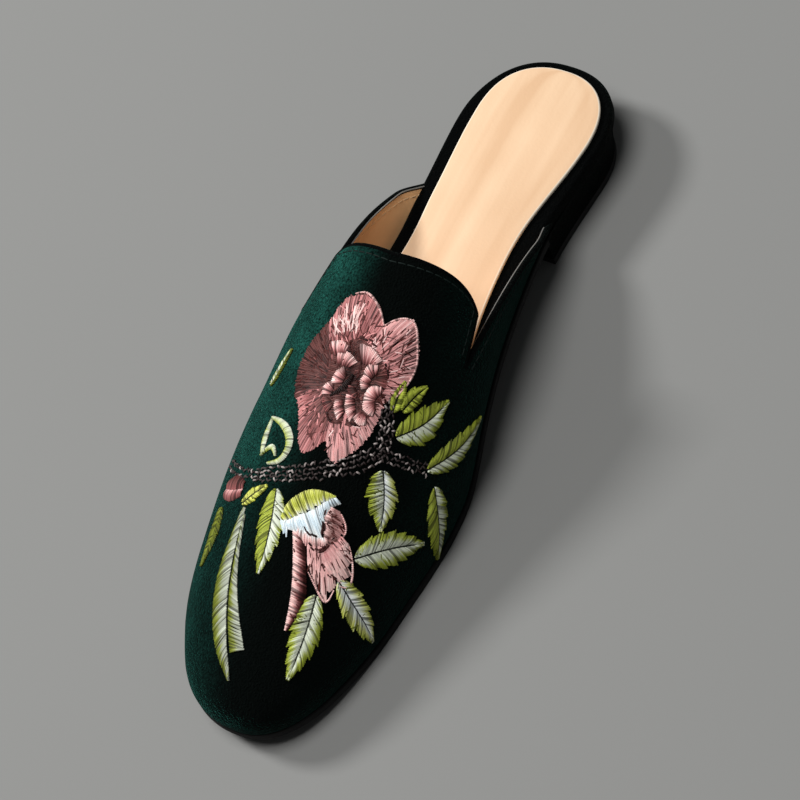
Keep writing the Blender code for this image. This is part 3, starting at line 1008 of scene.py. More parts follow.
def build_outsole():
    mesh = layer(
        "outsole_stock",
        rounded_rings(radius=0.7, steps=4),
        Extent(0.0, BREAST - GAP, 0.0, 0.0),
        lambda back, side: 0.0,
        (0.0, OUTSOLE_TOP),
        square_rear=True,
    )
    new_piece("outsole_stock", mesh, OUTSOLE_STOCK, ["outsole"])


def build_insole_cover():
    mesh = layer(
        "insole_cover",
        rounded_rings(radius=1.5, steps=6),
        Extent(INSOLE_TOE_SETBACK, LENGTH, INSOLE_TOE_SETBACK, 0.0),
        cover_inset,
        (INSOLE_FOOT, INSOLE_TOP),
    )
    new_piece("insole_cover", mesh, DARK_VELVET, ["insole"])


def build_sock():
    mesh = layer(
        "sock_leather",
        rounded_rings(radius=0.6, steps=4),
        Extent(SOCK_TOE_SETBACK, LENGTH - SOCK_RIM, SOCK_TOE_SETBACK, SOCK_RIM),
        sock_inset,
        (SOCK_FOOT, SOCK_TOP),
        dome=0.5,
        shade=sock_shade,
    )
    new_piece("sock_leather", mesh, SOCK_LEATHER, ["sock_lining"])


def heel_points(across, along, climb, foot):
    """Points of the heel at a share of its height: tapered to the foot, a little hollow half way."""
    hollow = HEEL_WAIST * 4 * climb * (1 - climb)
    inset = HEEL_TAPER + climb * (HEEL_SEAT_INSET - HEEL_TAPER) + hollow
    back_inset = HEEL_BACK_TAPER + climb * (HEEL_SEAT_INSET - HEEL_BACK_TAPER)
    share = np.sin((along + 1) / 2 * RIGHT_ANGLE)
    back = BREAST + share * (LENGTH - back_inset - BREAST)
    side = np.where(across > 0, 1, -1)
    half = half_width(back, side, inset, heel_setback=back_inset)
    height = foot + climb * (level(back, OUTSOLE_TOP) - foot)
    return np.stack([last("centre", back) + across * half, back, height], -1)


HEEL_ACROSS = 12
HEEL_ALONG = 64
HEEL_LEVELS = 10


def heel_block(name, levels, height_of):
    """A block over the heel's plan: a grid raised level by level, hollow inside."""
    bm = bmesh.new()
    bmesh.ops.create_grid(bm, x_segments=HEEL_ACROSS, y_segments=HEEL_ALONG, size=1)
    rings = [list(bm.verts)]
    faces = bm.faces[:]
    for _ in range(levels):
        grown = bmesh.ops.extrude_face_region(bm, geom=faces)["geom"]
        rings.append([g for g in grown if isinstance(g, bmesh.types.BMVert)])
        faces = [g for g in grown if isinstance(g, bmesh.types.BMFace)]
    for ring in rings[1:-1]:
        held = set(ring)
        inner = [f for f in bm.faces if all(v in held for v in f.verts)]
        bmesh.ops.delete(bm, geom=inner, context="FACES_ONLY")
    for step, ring in enumerate(rings):
        blank = vertex_array(ring)
        climb, foot = height_of(step / levels)
        set_places(ring, heel_points(blank[:, 0], blank[:, 1], climb, foot))
    loose = [v for v in bm.verts if not v.link_faces]
    bmesh.ops.delete(bm, geom=loose, context="VERTS")
    return closed_mesh(bm, name)


def round_corners(piece, width, segments):
    bevel = piece.modifiers.new("rounded_corners", "BEVEL")
    bevel.width = width * MM
    bevel.segments = segments
    bevel.limit_method = "ANGLE"
    bevel.angle_limit = SHARP_ANGLE


def build_heel():
    foot = TOP_PIECE_THICK + GAP
    mesh = heel_block("heel_cover", HEEL_LEVELS, lambda share: (share, foot))
    block = new_piece("heel_cover", mesh, DARK_VELVET, ["heel"])
    round_corners(block, width=0.8, segments=3)
    mesh = heel_block("heel_rubber", 1, lambda share: (0.0, share * TOP_PIECE_THICK))
    plate = new_piece("heel_rubber", mesh, RUBBER, ["heel_top_piece"])
    round_corners(plate, width=0.4, segments=2)


# Flat pattern of the vamp


PATTERN_STEP = 0.5
PATTERN_REACH = 90.0
PATTERN_BACKS = np.arange(2.0, 150.0, 1.0)
PATTERN_ARCS = np.arange(-PATTERN_REACH, PATTERN_REACH + PATTERN_STEP, PATTERN_STEP)
GIRTH_STATIONS = 241


def unroll_vamp(velvet_sheet):
    """Points and normals of the velvet on a grid of (back, arc length from the ridge)."""
    angles = np.linspace(RIGHT_ANGLE, 0.0, GIRTH_STATIONS)
    grid = np.zeros((len(PATTERN_BACKS), len(PATTERN_ARCS), 3))
    for i, back in enumerate(PATTERN_BACKS):
        for side in (-1, 1):
            section = side_point(np.full(len(angles), back), side, angles)
            lengths = distances_along(section)
            here = PATTERN_ARCS * side >= 0
            for k in range(3):
                grid[i, here, k] = np.interp(np.abs(PATTERN_ARCS[here]), lengths, section[:, k])
    normals = np.zeros(grid.shape)
    for index in np.ndindex(grid.shape[:2]):
        _, place, normal, _ = velvet_sheet.closest_point_on_mesh(Vector(to_frame(grid[index])))
        grid[index] = (np.array(place) - OFFSET) / MM
        normals[index] = normal
    return grid, normals


def on_vamp(flat):
    """Places and normals on the velvet of points of the flat pattern, (across, back)."""
    column = np.clip((flat[..., 0] + PATTERN_REACH) / PATTERN_STEP, 0, len(PATTERN_ARCS) - 2)
    row = np.clip(flat[..., 1] - PATTERN_BACKS[0], 0, len(PATTERN_BACKS) - 2)
    i, j = row.astype(int), column.astype(int)
    a, b = (row - i)[..., None], (column - j)[..., None]
    places, normals = (
        grid[i, j] * (1 - a) * (1 - b)
        + grid[i + 1, j] * a * (1 - b)
        + grid[i, j + 1] * (1 - a) * b
        + grid[i + 1, j + 1] * a * b
        for grid in VAMP
    )
    return places, unit(normals)


# Embroidery


# Every stitch has the same stations along it, and stands up a little between its ends.
STITCH_STATIONS = 6
STATIONS = np.linspace(0, 1, STITCH_STATIONS)
ARCH = np.sin(math.pi * STATIONS)
STITCH_ARCH = 0.12
STITCH_BOW = 0.02
THREAD_WIDTH = 0.62
THREAD_TAPER = 0.25
THREAD_FLATNESS = 0.75

# Fills: spacing of their lines, and what varies from stitch to stitch
THREAD_PITCH = 0.52
MEASURING_STATIONS = 40
LEAST_LINES = 4
ROW_JITTER = 0.35
ROW_OVERLAP = 0.08
END_JITTER = (-0.03, 0.02)
PAD_LIMITS = (0.04, 0.96)
PAD_ROUNDNESS = 0.6
TONE_JITTER = 0.1
LEAST_SHADE = 0.4
DARK_STITCH = 0.35
TOOTH_DEPTH = 0.24

# Loose strokes over a fill: where they may lie between its rails, and what varies
STROKE_LINES = 200
STROKE_MARGIN = 6
STROKE_LIMITS = (0.02, 0.94)
STROKE_LENGTHS = (0.6, 1.4)
STROKE_CLEARANCE = 0.1
STROKE_LEAN = 0.06
STROKE_SHADE = 0.15
LEAST_STROKE_SHADE = 0.3

# Dark lines of backstitch: width, how many of their stitches are sewn, and how dark these are
SHADOW_WIDTH = 0.7
SHADOW_SHARE = 0.6
SHADOW_TONES = (0.15, 0.9)


def rail(points, count):
    """A smooth flat curve through a few given points, with stations evenly along it."""
    points = np.array(points, float)
    if len(points) == 2:
        share = np.linspace(0, 1, count)[:, None]
        return points[0] + share * (points[1] - points[0])
    places = distances_along(points)
    slopes = spline_slopes(places, points)
    return read_curve(places, points, slopes, np.linspace(0, places[-1], count))


def length_of(points):
    """Length of the smooth curve through a few points."""
    return distances_along(rail(points, MEASURING_STATIONS))[-1]


def even_tone(tone):
    return np.tile(tone, (STITCH_STATIONS, 1))


class Embroidery:
    """Stitches gathered for one piece: flat paths, heights, widths and colours."""

    def __init__(self):
        self.paths = []
        self.heights = []
        self.widths = []
        self.colours = []

    def stitch(self, start, end, heights, tones, width=THREAD_WIDTH):
        """One thread from start to end, bowed a little sideways and thinner at its ends."""
        bow = rng.normal(0, STITCH_BOW) * np.linalg.norm(end - start)
        sideways = unit(np.array([start[1] - end[1], end[0] - start[0]]))
        straight = start + STATIONS[:, None] * (end - start)
        self.paths.append(straight + sideways * bow * ARCH[:, None])
        self.heights.append(heights)
        self.widths.append(width * (1 - THREAD_TAPER + THREAD_TAPER * ARCH))
        self.colours.append(tones)

    def fill_line(self, start, end, tones, pad, rows, lift, shade, dark):
        """One line of a fill: rows of stitches that overlap where one ends and the next begins."""
        breaks = np.linspace(0, 1, rows + 1)
        breaks[1:-1] += rng.uniform(-ROW_JITTER, ROW_JITTER, rows - 1) / rows
        stops = np.linspace(0, 1, len(tones))
        for k in range(rows):
            low = breaks[k] - (ROW_OVERLAP if k else rng.uniform(0, -END_JITTER[0]))
            high = breaks[k + 1] + (ROW_OVERLAP if k < rows - 1 else rng.uniform(*END_JITTER))
            q = np.linspace(low, high, STITCH_STATIONS)
            mound = np.sin(math.pi * np.clip(q, *PAD_LIMITS)) ** PAD_ROUNDNESS
            heights = lift + pad * mound + STITCH_ARCH * ARCH
            along = q + rng.normal(0, TONE_JITTER)
            mixed = [np.interp(along, stops, channel) for channel in np.transpose(tones)]
            depth = DARK_STITCH if rng.random() < dark else 1.0
            colour = np.array(mixed).T * max(rng.normal(1, shade), LEAST_SHADE) * depth
            across = end - start
            self.stitch(start + low * across, start + high * across, heights, colour)

    def fill(
        self, inner, outer, tones, pad, rows=1, slant=0.0, lift=0.1, teeth=0, shade=0.12, dark=0.1
    ):
        """Long and short stitches from one rail to another, padded so that they stand proud."""
        longest = max(length_of(inner), length_of(outer))
        count = max(int(longest / THREAD_PITCH), LEAST_LINES)
        shift = int(slant * count)
        inner_rail, outer_rail = rail(inner, count), rail(outer, count)
        for line in range(-shift, count):
            to = min(line + shift, count - 1)
            start, end = inner_rail[max(line, 0)], outer_rail[to]
            if teeth:
                end = start + (end - start) * (1 - TOOTH_DEPTH * (1 - to / count * teeth % 1))
            self.fill_line(start, end, tones, pad, rows, lift, shade, dark)

    def strokes(self, inner, outer, tone, number, reach, lift, width=0.5):
        """Loose single stitches over a fill, for its shadow lines and lights."""
        inner_rail, outer_rail = rail(inner, STROKE_LINES), rail(outer, STROKE_LINES)
        nearest, farthest = STROKE_LIMITS
        for _ in range(number):
            line = rng.integers(STROKE_MARGIN, STROKE_LINES - STROKE_MARGIN)
            length = reach * rng.uniform(*STROKE_LENGTHS)
            low = rng.uniform(nearest, farthest - length)
            along = outer_rail[line] - inner_rail[line]
            mound = np.sin(math.pi * (low + length * STATIONS)) ** PAD_ROUNDNESS
            heights = lift * (1 + mound) / 2 + STROKE_CLEARANCE
            colour = even_tone(tone * max(rng.normal(1, STROKE_SHADE), LEAST_STROKE_SHADE))
            lean = rng.normal(0, STROKE_LEAN) * np.array([-along[1], along[0]])
            start = inner_rail[line] + low * along
            self.stitch(start, start + length * along + lean, heights, colour, width)

    def backstitch(self, line, lift):
        """Dark stitches end to end along a line, broken here and there."""
        for start, end in zip(line[:-1], line[1:]):
            tone = even_tone(MAROON * rng.uniform(*SHADOW_TONES))
            if rng.random() < SHADOW_SHARE:
                self.stitch(start, end, np.full(STITCH_STATIONS, lift), tone, SHADOW_WIDTH)

    def piece(self, name):
        heights = np.array(self.heights)[..., None]
        places, normals = on_vamp(np.array(self.paths))
        half = np.array(self.widths) / 2
        colours = np.clip(np.array(self.colours), 0, 1)
        raised = places + normals * heights
        mesh = lay_stitches(name, raised, normals, half, half * THREAD_FLATNESS, colours)
        new_piece(name, mesh, SATIN_THREAD)


# Thread colours

LEAF_PALE = srgb(216, 222, 202)
LEAF_LIME = srgb(170, 181, 68)
LEAF_OLIVE = srgb(134, 145, 42)
VEIN_DARK = srgb(22, 28, 16)
PINK_LIGHT = srgb(248, 206, 200)
PINK_PALE = srgb(236, 180, 176)
PINK = srgb(205, 140, 138)
PINK_DEEP = srgb(158, 94, 93)
PINK_DUSK = srgb(112, 68, 64)
MAROON = srgb(80, 34, 30)
LIME = srgb(196, 202, 78)
LEMON = srgb(228, 230, 130)
ICE = srgb(206, 224, 234)
ICE_WHITE = srgb(240, 246, 246)

# Leaves on the flat pattern: where the vein starts and ends, half widths on its two sides, how
# far it bows to its left, and which tones its two halves take from vein to edge.
Leaf = namedtuple("Leaf", "base tip left right bow tones_left tones_right")
PALE_TO_LIME = (LEAF_PALE, LEAF_PALE, LEAF_LIME, LEAF_OLIVE)
PALE = (LEAF_PALE, LEAF_PALE, LEAF_PALE, LEAF_LIME)
# Paler tones for two leaves: partly their pale thread, partly painted light.
SUNNY = (ICE_WHITE, LEAF_PALE, LEMON * 0.85, LEAF_LIME)
GREEN = (LEAF_LIME, LEAF_LIME, LEAF_OLIVE)
SHADY = (LEAF_LIME * 0.6, LEAF_OLIVE * 0.5, LEAF_OLIVE * 0.35)
DEEP_LEAF = (LEAF_PALE * 0.8, LEAF_PALE * 0.6, LEAF_LIME * 0.55, LEAF_OLIVE * 0.5)
LEAVES = (
    Leaf((20.5, 95.5), (33.8, 114), 4.4, 5.2, -1.0, GREEN, PALE_TO_LIME),
    Leaf((16.4, 101.5), (17.2, 111), 1.9, 2.6, 0.4, GREEN, GREEN),
    Leaf((19.2, 103.0), (24.6, 113.2), 2.4, 2.4, 0.5, GREEN, GREEN),
    Leaf((34.6, 93.2), (52.6, 119), 3.6, 4.0, -0.8, GREEN, PALE_TO_LIME),
    Leaf((39.8, 90.4), (60.4, 77.6), 5.4, 5.8, -1.0, PALE_TO_LIME, GREEN),
    Leaf((20.6, 84.8), (27.0, 69.4), 5.0, 6.4, 0.8, SUNNY, PALE_TO_LIME),
    Leaf((22.6, 58.6), (45.0, 75.8), 5.0, 5.0, 0.8, PALE_TO_LIME, PALE_TO_LIME),
    Leaf((20.2, 50.2), (41.0, 42.6), 4.6, 5.2, -0.8, SUNNY, SUNNY),
    Leaf((15.2, 43.2), (15.0, 17.4), 4.8, 4.9, 0.8, PALE_TO_LIME, PALE_TO_LIME),
    Leaf((-9.2, 67.4), (-4.6, 42.2), 4.6, 4.8, 0.8, PALE, GREEN),
    Leaf((-20.4, 61.4), (-13.0, 67.8), 2.0, 2.2, 0.4, (LEMON, LIME), (LEMON, LIME)),
    Leaf((-31.5, 60.0), (-30.5, 41.5), 2.6, 3.0, 0.8, SHADY, SHADY),
    Leaf((-33.0, 99.5), (-27.4, 110.5), 1.7, 1.7, 0.6, PALE_TO_LIME, SHADY),
)
VEIN_GAP = 0.3
VEIN_WIDTH = 0.55
VEIN_LIFT = 0.22
VEIN_STATIONS = 9
LEAF_STATIONS = 24
LEAF_SKEW = 0.8
LEAF_ROUNDNESS = 0.85
LEAF_PAD = 0.42
LEAF_SHADE = 0.16
TOOTH_SPACING = 4.2


def leaf_rails(leaf, side):
    """The vein and one edge of a leaf: fullest before its middle and pointed at the tip."""
    base, tip = np.array(leaf.base), np.array(leaf.tip)
    along = tip - base
    left = np.array([-along[1], along[0]]) / np.linalg.norm(along)
    x = np.linspace(0, 1, LEAF_STATIONS)[:, None]
    vein = base + x * along + left * leaf.bow * np.sin(math.pi * x)
    half = leaf.left if side > 0 else leaf.right
    profile = np.sin(math.pi * x**LEAF_SKEW) ** LEAF_ROUNDNESS
    return vein + side * left * VEIN_GAP, vein + side * left * (VEIN_GAP + half * profile)


def stitch_vein(work, path):
    for start, end in zip(path[:-1], path[1:]):
        tone = even_tone(VEIN_DARK * rng.uniform(0.7, 1.3))
        work.stitch(start, end, np.full(STITCH_STATIONS, VEIN_LIFT), tone, VEIN_WIDTH)


def stitch_leaf(work, leaf):
    """Two toothed halves of slanting stitches, with a few dark ones over them, and the vein."""
    teeth = round(math.dist(leaf.base, leaf.tip) / TOOTH_SPACING)
    for side, tones in ((1, leaf.tones_left), (-1, leaf.tones_right)):
        vein, edge = leaf_rails(leaf, side)
        work.fill(
            vein, edge, tones, LEAF_PAD, slant=0.16, teeth=teeth, shade=LEAF_SHADE, dark=0.22
        )
        work.strokes(vein, edge, LEAF_OLIVE * 0.55, number=9, reach=0.3, lift=0.6, width=0.4)
    vein = (leaf_rails(leaf, 1)[0] + leaf_rails(leaf, -1)[0]) / 2
    stitch_vein(work, rail(vein, VEIN_STATIONS)[:-1])


# The long leaf down to the toe, with a barb on its inner side: vein and edge of its two halves
LONG_VEIN = ((-18.5, 60), (-15.5, 44), (-10, 27), (-2.2, 10.8))
LONG_EDGE = ((-19.3, 60), (-19.8, 42), (-14.6, 25), (-8.2, 15.6), (-2.6, 10.4))
BARB_VEIN = ((-17.8, 58), (-14.8, 44), (-9.6, 28), (-4.8, 18.2))
BARB_EDGE = ((-17.4, 58), (-13.9, 46), (-8.2, 33), (-0.6, 20.4))
LONG_VEIN_STATIONS = 14


def stitch_long_leaf(work):
    halves = ((LONG_VEIN, LONG_EDGE, DEEP_LEAF), (BARB_VEIN, BARB_EDGE, DEEP_LEAF[::-1]))
    for vein, edge, tones in halves:
        work.fill(vein, edge, tones, LEAF_PAD, slant=0.07, shade=LEAF_SHADE, dark=0.24)
    stitch_vein(work, rail(LONG_VEIN, LONG_VEIN_STATIONS)[:-1])


BAND_STATIONS = 24


def band_rails(path, width, taper=0.65):
    """Two rails on either side of a path, narrowing to its ends."""
    centre = rail(path, BAND_STATIONS)
    along = np.gradient(centre, axis=0)
    left = unit(np.stack([-along[:, 1], along[:, 0]], -1))
    swelling = np.sin(np.linspace(0, math.pi, BAND_STATIONS))[:, None]
    half = width / 2 * (1 - taper + taper * swelling)
    return centre + left * half, centre - left * half


# Open loop leaf on the little toe's side: three curved bands and their widths.
LOOP_BANDS = (
    (((-22.6, 88.4), (-15.5, 86.0), (-11.2, 81.0), (-12.2, 76.2), (-16.4, 74.4)), 2.6),
    (((-22.6, 87.6), (-22.4, 82.0), (-20.6, 76.6)), 2.2),
    (((-20.8, 76.6), (-17.6, 79.4), (-14.8, 77.0)), 1.7),
)


def build_leaves():
    work = Embroidery()
    for leaf in LEAVES:
        stitch_leaf(work, leaf)
    stitch_long_leaf(work)
    for path, width in LOOP_BANDS:
        work.fill(*band_rails(path, width), (LEAF_PALE, LEAF_LIME), pad=0.5, slant=0.02)
    work.piece("embroidered_leaves")


# Petals of the open flower: the wide ones, the ground of its heart, and the small ones that curl
# over that ground. Each has a rail at its base, a rail at its rim, tones from base to rim, how far
# it stands off the velvet, its rows of stitches, and how many loose dark strokes lie over it.
Petal = namedtuple("Petal", "base rim tones lift rows strokes", defaults=(1, 2))
CURL = (MAROON * 0.3, PINK_DEEP, PINK_PALE, PINK_LIGHT)
DUSKY = (MAROON * 0.5, PINK_DUSK, PINK_DEEP)
PETALS = (
    Petal(
        ((-5, 105), (-2, 106.5), (1, 106)),
        ((-13.4, 117.8), (-10.6, 125.6), (-4.2, 129.6), (2.6, 126.2), (5.6, 121)),
        (MAROON, PINK_DEEP, PINK_DEEP, PINK), 0.15, 5, 110,
    ),
    Petal(
        ((0.5, 106), (2, 103.5), (2, 101)),
        ((5.6, 121.8), (13, 127.4), (19, 117), (17, 108.5), (12.8, 101.4)),
        (PINK_DEEP, PINK, PINK, PINK_PALE), 0.2, 4, 100,
    ),
    Petal(
        ((-4, 106), (-5, 103), (-4, 100.5)),
        ((-13.8, 118.4), (-19.4, 109.5), (-19.6, 102), (-16.5, 95)),
        (MAROON * 0.5, PINK_DUSK * 0.6, PINK_DUSK * 0.75, PINK_DUSK * 0.8), 0.15, 4, 50,
    ),
    Petal(
        ((-4.5, 101), (-3.5, 98.5), (-1, 97.5)),
        ((-17, 96.5), (-12.5, 91), (-9.6, 85), (-5.8, 80), (0.4, 85)),
        (MAROON, PINK_DUSK, PINK_DEEP, PINK), 0.15, 4, 40,
    ),
    Petal(
        ((-1.5, 98), (1, 98.5), (2.5, 101.5)),
        ((0.8, 85.2), (5.2, 80), (9.8, 84.9), (12.9, 92.7), (13.4, 101)),
        (PINK_DEEP, PINK, PINK_PALE), 0.25, 4, 34,
    ),
    Petal(
        ((-2.9, 115), (1.1, 104.2), (4.1, 91.6)),
        ((-3, 115.2), (-7.3, 111.3), (-7.7, 105.9), (-6.8, 100), (-4.3, 94.6), (0, 90.5)),
        (MAROON * 0.4, PINK_DUSK * 0.8, PINK_DUSK * 0.7), 0.45, 3, 40,
    ),
    Petal(
        ((-2.9, 115), (1.1, 104.2), (4.1, 91.6)),
        ((-3, 115.2), (2.2, 116.4), (8.2, 114.4), (11.7, 109.4), (12.4, 103.7), (11.4, 97.2), (6.9, 91.9)),
        (MAROON * 0.3, PINK_DUSK * 0.7, PINK_DUSK), 0.45, 3, 50,
    ),
    Petal(((-6.4, 109.6), (-3.4, 110)), ((-9.2, 113.2), (-6.6, 114.2), (-3.4, 113.4)), CURL, 0.8),
    Petal(((-4.4, 107.4), (-1, 107.4)), ((-5.8, 111), (-2.4, 111.6), (1.2, 109.8)), CURL, 0.9),
    Petal(((3, 109.8), (5.8, 109.8)), ((0.4, 115), (4, 115), (8.4, 113)), CURL, 0.9),
    Petal(((8.2, 108.6), (8.4, 105.4)), ((10.6, 111), (12, 107.8), (11.4, 104.6)), DUSKY, 0.8),
    Petal(((-0.6, 105.2), (-1.2, 102.6)), ((-2.6, 107.2), (-4.6, 105), (-4.8, 101.8)), CURL, 1.0),
    Petal(((-3.2, 100.4), (-3.4, 98.6)), ((-5, 102.2), (-6.8, 100.4), (-6.4, 98)), CURL, 0.9),
    Petal(((-3, 97), (-1.2, 96)), ((-5.6, 96.8), (-4.6, 94.6), (-2.4, 93)), DUSKY, 0.8),
    Petal(((8, 108.4), (7, 106.8)), ((7.4, 111.2), (5, 110.2), (4.2, 107.6)), CURL, 1.1),
    Petal(((7, 106.2), (7.2, 104)), ((4.7, 107.4), (3.9, 105.4), (5, 103)), CURL, 1.0),
    Petal(((1, 98), (2.8, 94.4)), ((-1.4, 97), (-0.4, 94.2), (1.6, 92)), CURL, 0.9),
    Petal(((4.2, 99.8), (6.2, 96)), ((1.4, 99.8), (2.8, 95.6), (5.4, 92.8)), CURL, 1.0),
    Petal(((3.4, 102.6), (4.8, 101.4)), ((1, 102.4), (1.8, 100.4), (4.2, 99.6)), DUSKY, 0.9),
    Petal(
        ((11, 103.6), (10.2, 101.6), (10.8, 99.8)),
        ((10.4, 106.2), (7.2, 104.2), (6.8, 100.6), (8.2, 97.4), (11, 97)),
        CURL, 1.1,
    ),
    Petal(((7.6, 96.8), (9.4, 96.4)), ((6, 94), (8.2, 93), (10.2, 94)), CURL, 0.9),
)

# Painted shade: dark shadow lines in the folds between the small petals of the heart.
FOLDS = (
    ((-2, 116.4), (1.3, 116.8), (4.3, 116.4), (8, 115.2)),
    ((-1.2, 112.3), (1.6, 111)),
    ((0, 113.4), (1.6, 110.6), (3, 107), (2.6, 105.6)),
    ((-5.9, 107.7), (-2.6, 107)),
    ((2.4, 105), (4.6, 102.6)),
    ((4.6, 101.6), (5.8, 99), (7, 97)),
    ((9.4, 112.4), (11, 110), (11.6, 107.2)),
    ((10.6, 104.6), (13.4, 102.6)),
    ((-2.5, 93.1), (-0.3, 91.2), (3, 91.6)),
    ((5.2, 93), (8.6, 92.6)),
)
# Painted shade: a near black fill for the heart's hollow middle.
SHADED_HOLLOW = ((-3.4, 98.2), (-0.4, 101.4), (1.2, 105.8))

# Pale edges of the two upper petals, and where the top one is lit.
PETAL_EDGES = (
    ((-7, 128.8), (-3.8, 129.8), (0, 128.2), (3, 125.6), (5.2, 122.4)),
    ((5.8, 122.6), (9.6, 126.2), (13, 127.2), (17, 121.8), (18.8, 116.5), (18, 110.5), (15.6, 105)),
)
LIT_HEART = ((-9, 113.4), (-5, 114.4), (-1.4, 115))
LIT_RIM = ((-13, 118.5), (-10.2, 125.4), (-3.6, 128.8))


def stitch_shadow(work, path, width, lift, stations):
    """Two lines of dark backstitch close together along a path."""
    for side in band_rails(path, width):
        work.backstitch(rail(side, stations), lift)


def stitch_petal(work, petal):
    """A petal's fill, with short dark strokes and fewer light ones over it."""
    base, rim, above = petal.base, petal.rim, petal.lift + 0.5
    work.fill(base, rim, petal.tones, 0.35, petal.rows, lift=petal.lift, shade=0.2, dark=0.2)
    work.strokes(base, rim, MAROON, petal.strokes, reach=0.09, lift=above, width=0.45)
    light = np.minimum(petal.tones[-1] * 1.3, 0.9)
    work.strokes(base, rim, light, petal.strokes // 3, reach=0.1, lift=above)


def build_peony():
    work = Embroidery()
    for petal in PETALS:
        stitch_petal(work, petal)
    work.strokes(LIT_HEART, LIT_RIM, PINK_LIGHT, number=44, reach=0.3, lift=0.66)
    # Painted shade in the heart's hollow middle.
    hollow_shade = MAROON * 0.12
    work.fill(*band_rails(SHADED_HOLLOW, 2.2, taper=0.5), (hollow_shade, hollow_shade), pad=0.1, lift=0.9)
    for path in FOLDS:
        stitch_shadow(work, path, width=0.6, lift=1.0, stations=8)
    for path in PETAL_EDGES:
        rails = band_rails(path, 0.8, taper=0.4)
        work.fill(*rails, (PINK_LIGHT, PINK_PALE), pad=0.2, lift=0.2, dark=0.3)
    work.piece("embroidered_peony")


# The hanging bud, its petals first, and the small bud on the little toe's side: two rails, tones
# from inner to outer rail, padding, rows of stitches, and teeth along the outer rail.
BudPart = namedtuple("BudPart", "inner outer tones pad rows teeth")
BUD_PARTS = (
    BudPart(
        ((1.4, 57.5), (5.4, 48), (7.8, 40.3), (9.4, 30.2)),
        ((6, 56.5), (10.6, 46.4), (12.6, 40), (10.6, 30.4)),
        (PINK_LIGHT, PINK_LIGHT, PINK_DEEP, MAROON * 0.5, MAROON * 0.3), 0.4, 1, 0,
    ),
    BudPart(
        ((7.4, 55.8), (10.5, 56.4), (14.5, 55)), ((10.4, 48.4), (14.6, 45), (18.6, 42.6), (19.8, 48.4)),
        (PINK_PALE, PINK_PALE, PINK_LIGHT), 0.45, 3, 3,
    ),
    BudPart(
        ((12, 54.6), (13.4, 58), (16, 61.9)), ((19.7, 49), (23.6, 50.4), (23, 55.6), (19.4, 60.8)),
        (PINK, PINK_PALE, PINK_LIGHT, PINK_LIGHT), 0.5, 3, 4,
    ),
    BudPart(
        ((9.2, 68), (9, 64.6), (10.4, 61.4), (11.6, 58.6)),
        ((14.4, 68), (17.2, 63.8), (16.6, 60.8), (13.8, 58.2)),
        (PINK_LIGHT, PINK_DUSK, PINK_PALE), 0.5, 2, 4,
    ),
    BudPart(
        ((2.8, 59), (7, 58.6), (11.4, 59.2)), ((4, 54.8), (8.4, 55), (12.8, 57)),
        (ICE_WHITE, PINK_LIGHT, PINK_PALE), 0.45, 1, 3,
    ),
    BudPart(
        ((-3.8, 60.6), (-1.2, 59.6)), ((-2.4, 56.2), (0.2, 54.6)),
        (ICE_WHITE, ICE), 0.4, 1, 2,
    ),
    BudPart(
        ((-1.6, 59.6), (1, 62), (4.2, 64.4), (7.4, 68.6), (9.6, 71.4)),
        ((-0.4, 56.4), (4.4, 57.6), (10.8, 58), (9.8, 64.4), (12.4, 70.2)),
        (ICE_WHITE, ICE, ICE_WHITE), 0.5, 1, 6,
    ),
    BudPart(
        ((-4.2, 60.2), (-3.9, 63.6), (-1.5, 67.6), (2.5, 70.6), (6, 71.5), (9.8, 71.7)),
        ((-1.8, 58.8), (1.4, 61.2), (4.6, 63.8), (7.6, 67.8), (10, 71)),
        (LEMON * 0.9, LIME * 0.9, LIME * 0.75, LEMON, ICE_WHITE), 0.45, 1, 7,
    ),
    BudPart(
        ((-33.5, 66.2), (-28.5, 65.6), (-23.4, 66)), ((-32.8, 69.2), (-28, 70.2), (-23.6, 68.2)),
        (PINK_DEEP, PINK_DUSK, MAROON), 0.4, 1, 0,
    ),
    BudPart(
        ((-33.5, 66), (-28.5, 65.4), (-23.4, 65.8)), ((-32.6, 63), (-27.5, 61.8), (-23, 63.4)),
        (PINK_PALE, PINK_DEEP, PINK_DUSK), 0.4, 1, 0,
    ),
)
BUD_PETALS = 4

# Pale outlines of the hanging bud's petals.
BUD_EDGES = (
    ((10.6, 48.2), (14.6, 45), (18.4, 43), (19.6, 47)),
    ((20, 49), (23.6, 50.4), (23, 55.6), (19.6, 60.6)),
    ((13.8, 67.6), (16.8, 63.8), (16.4, 61)),
)

# Dark lines between its petals.
BUD_SHADOWS = (
    ((7.4, 56), (9.6, 55), (11.4, 55.2), (13.1, 58), (14.4, 60.8)),
    ((3.9, 60.4), (7.5, 58.4), (10.4, 59), (9.5, 63.3), (8.8, 67.2)),
    ((9.2, 67.4), (11.4, 66), (14, 63.2)),
    ((10, 64), (12.4, 62.6), (14, 60.9)),
    ((13.4, 52.4), (16.4, 50.6), (19.2, 50.4)),
)


def build_buds():
    work = Embroidery()
    for part in BUD_PARTS:
        work.fill(
            part.inner, part.outer, part.tones, part.pad, part.rows, teeth=part.teeth, dark=0.16
        )
    for part in BUD_PARTS[:BUD_PETALS]:
        above = part.pad + 0.2
        work.strokes(part.inner, part.outer, MAROON, 12, reach=0.26, lift=above, width=0.45)
    for path in BUD_SHADOWS:
        stitch_shadow(work, path, width=0.7, lift=0.66, stations=9)
    for path in BUD_EDGES:
        rails = band_rails(path, 0.6, taper=0.4)
        work.fill(*rails, (PINK_LIGHT, PINK_PALE), pad=0.1, lift=0.3, dark=0.05)
    work.piece("embroidered_buds")


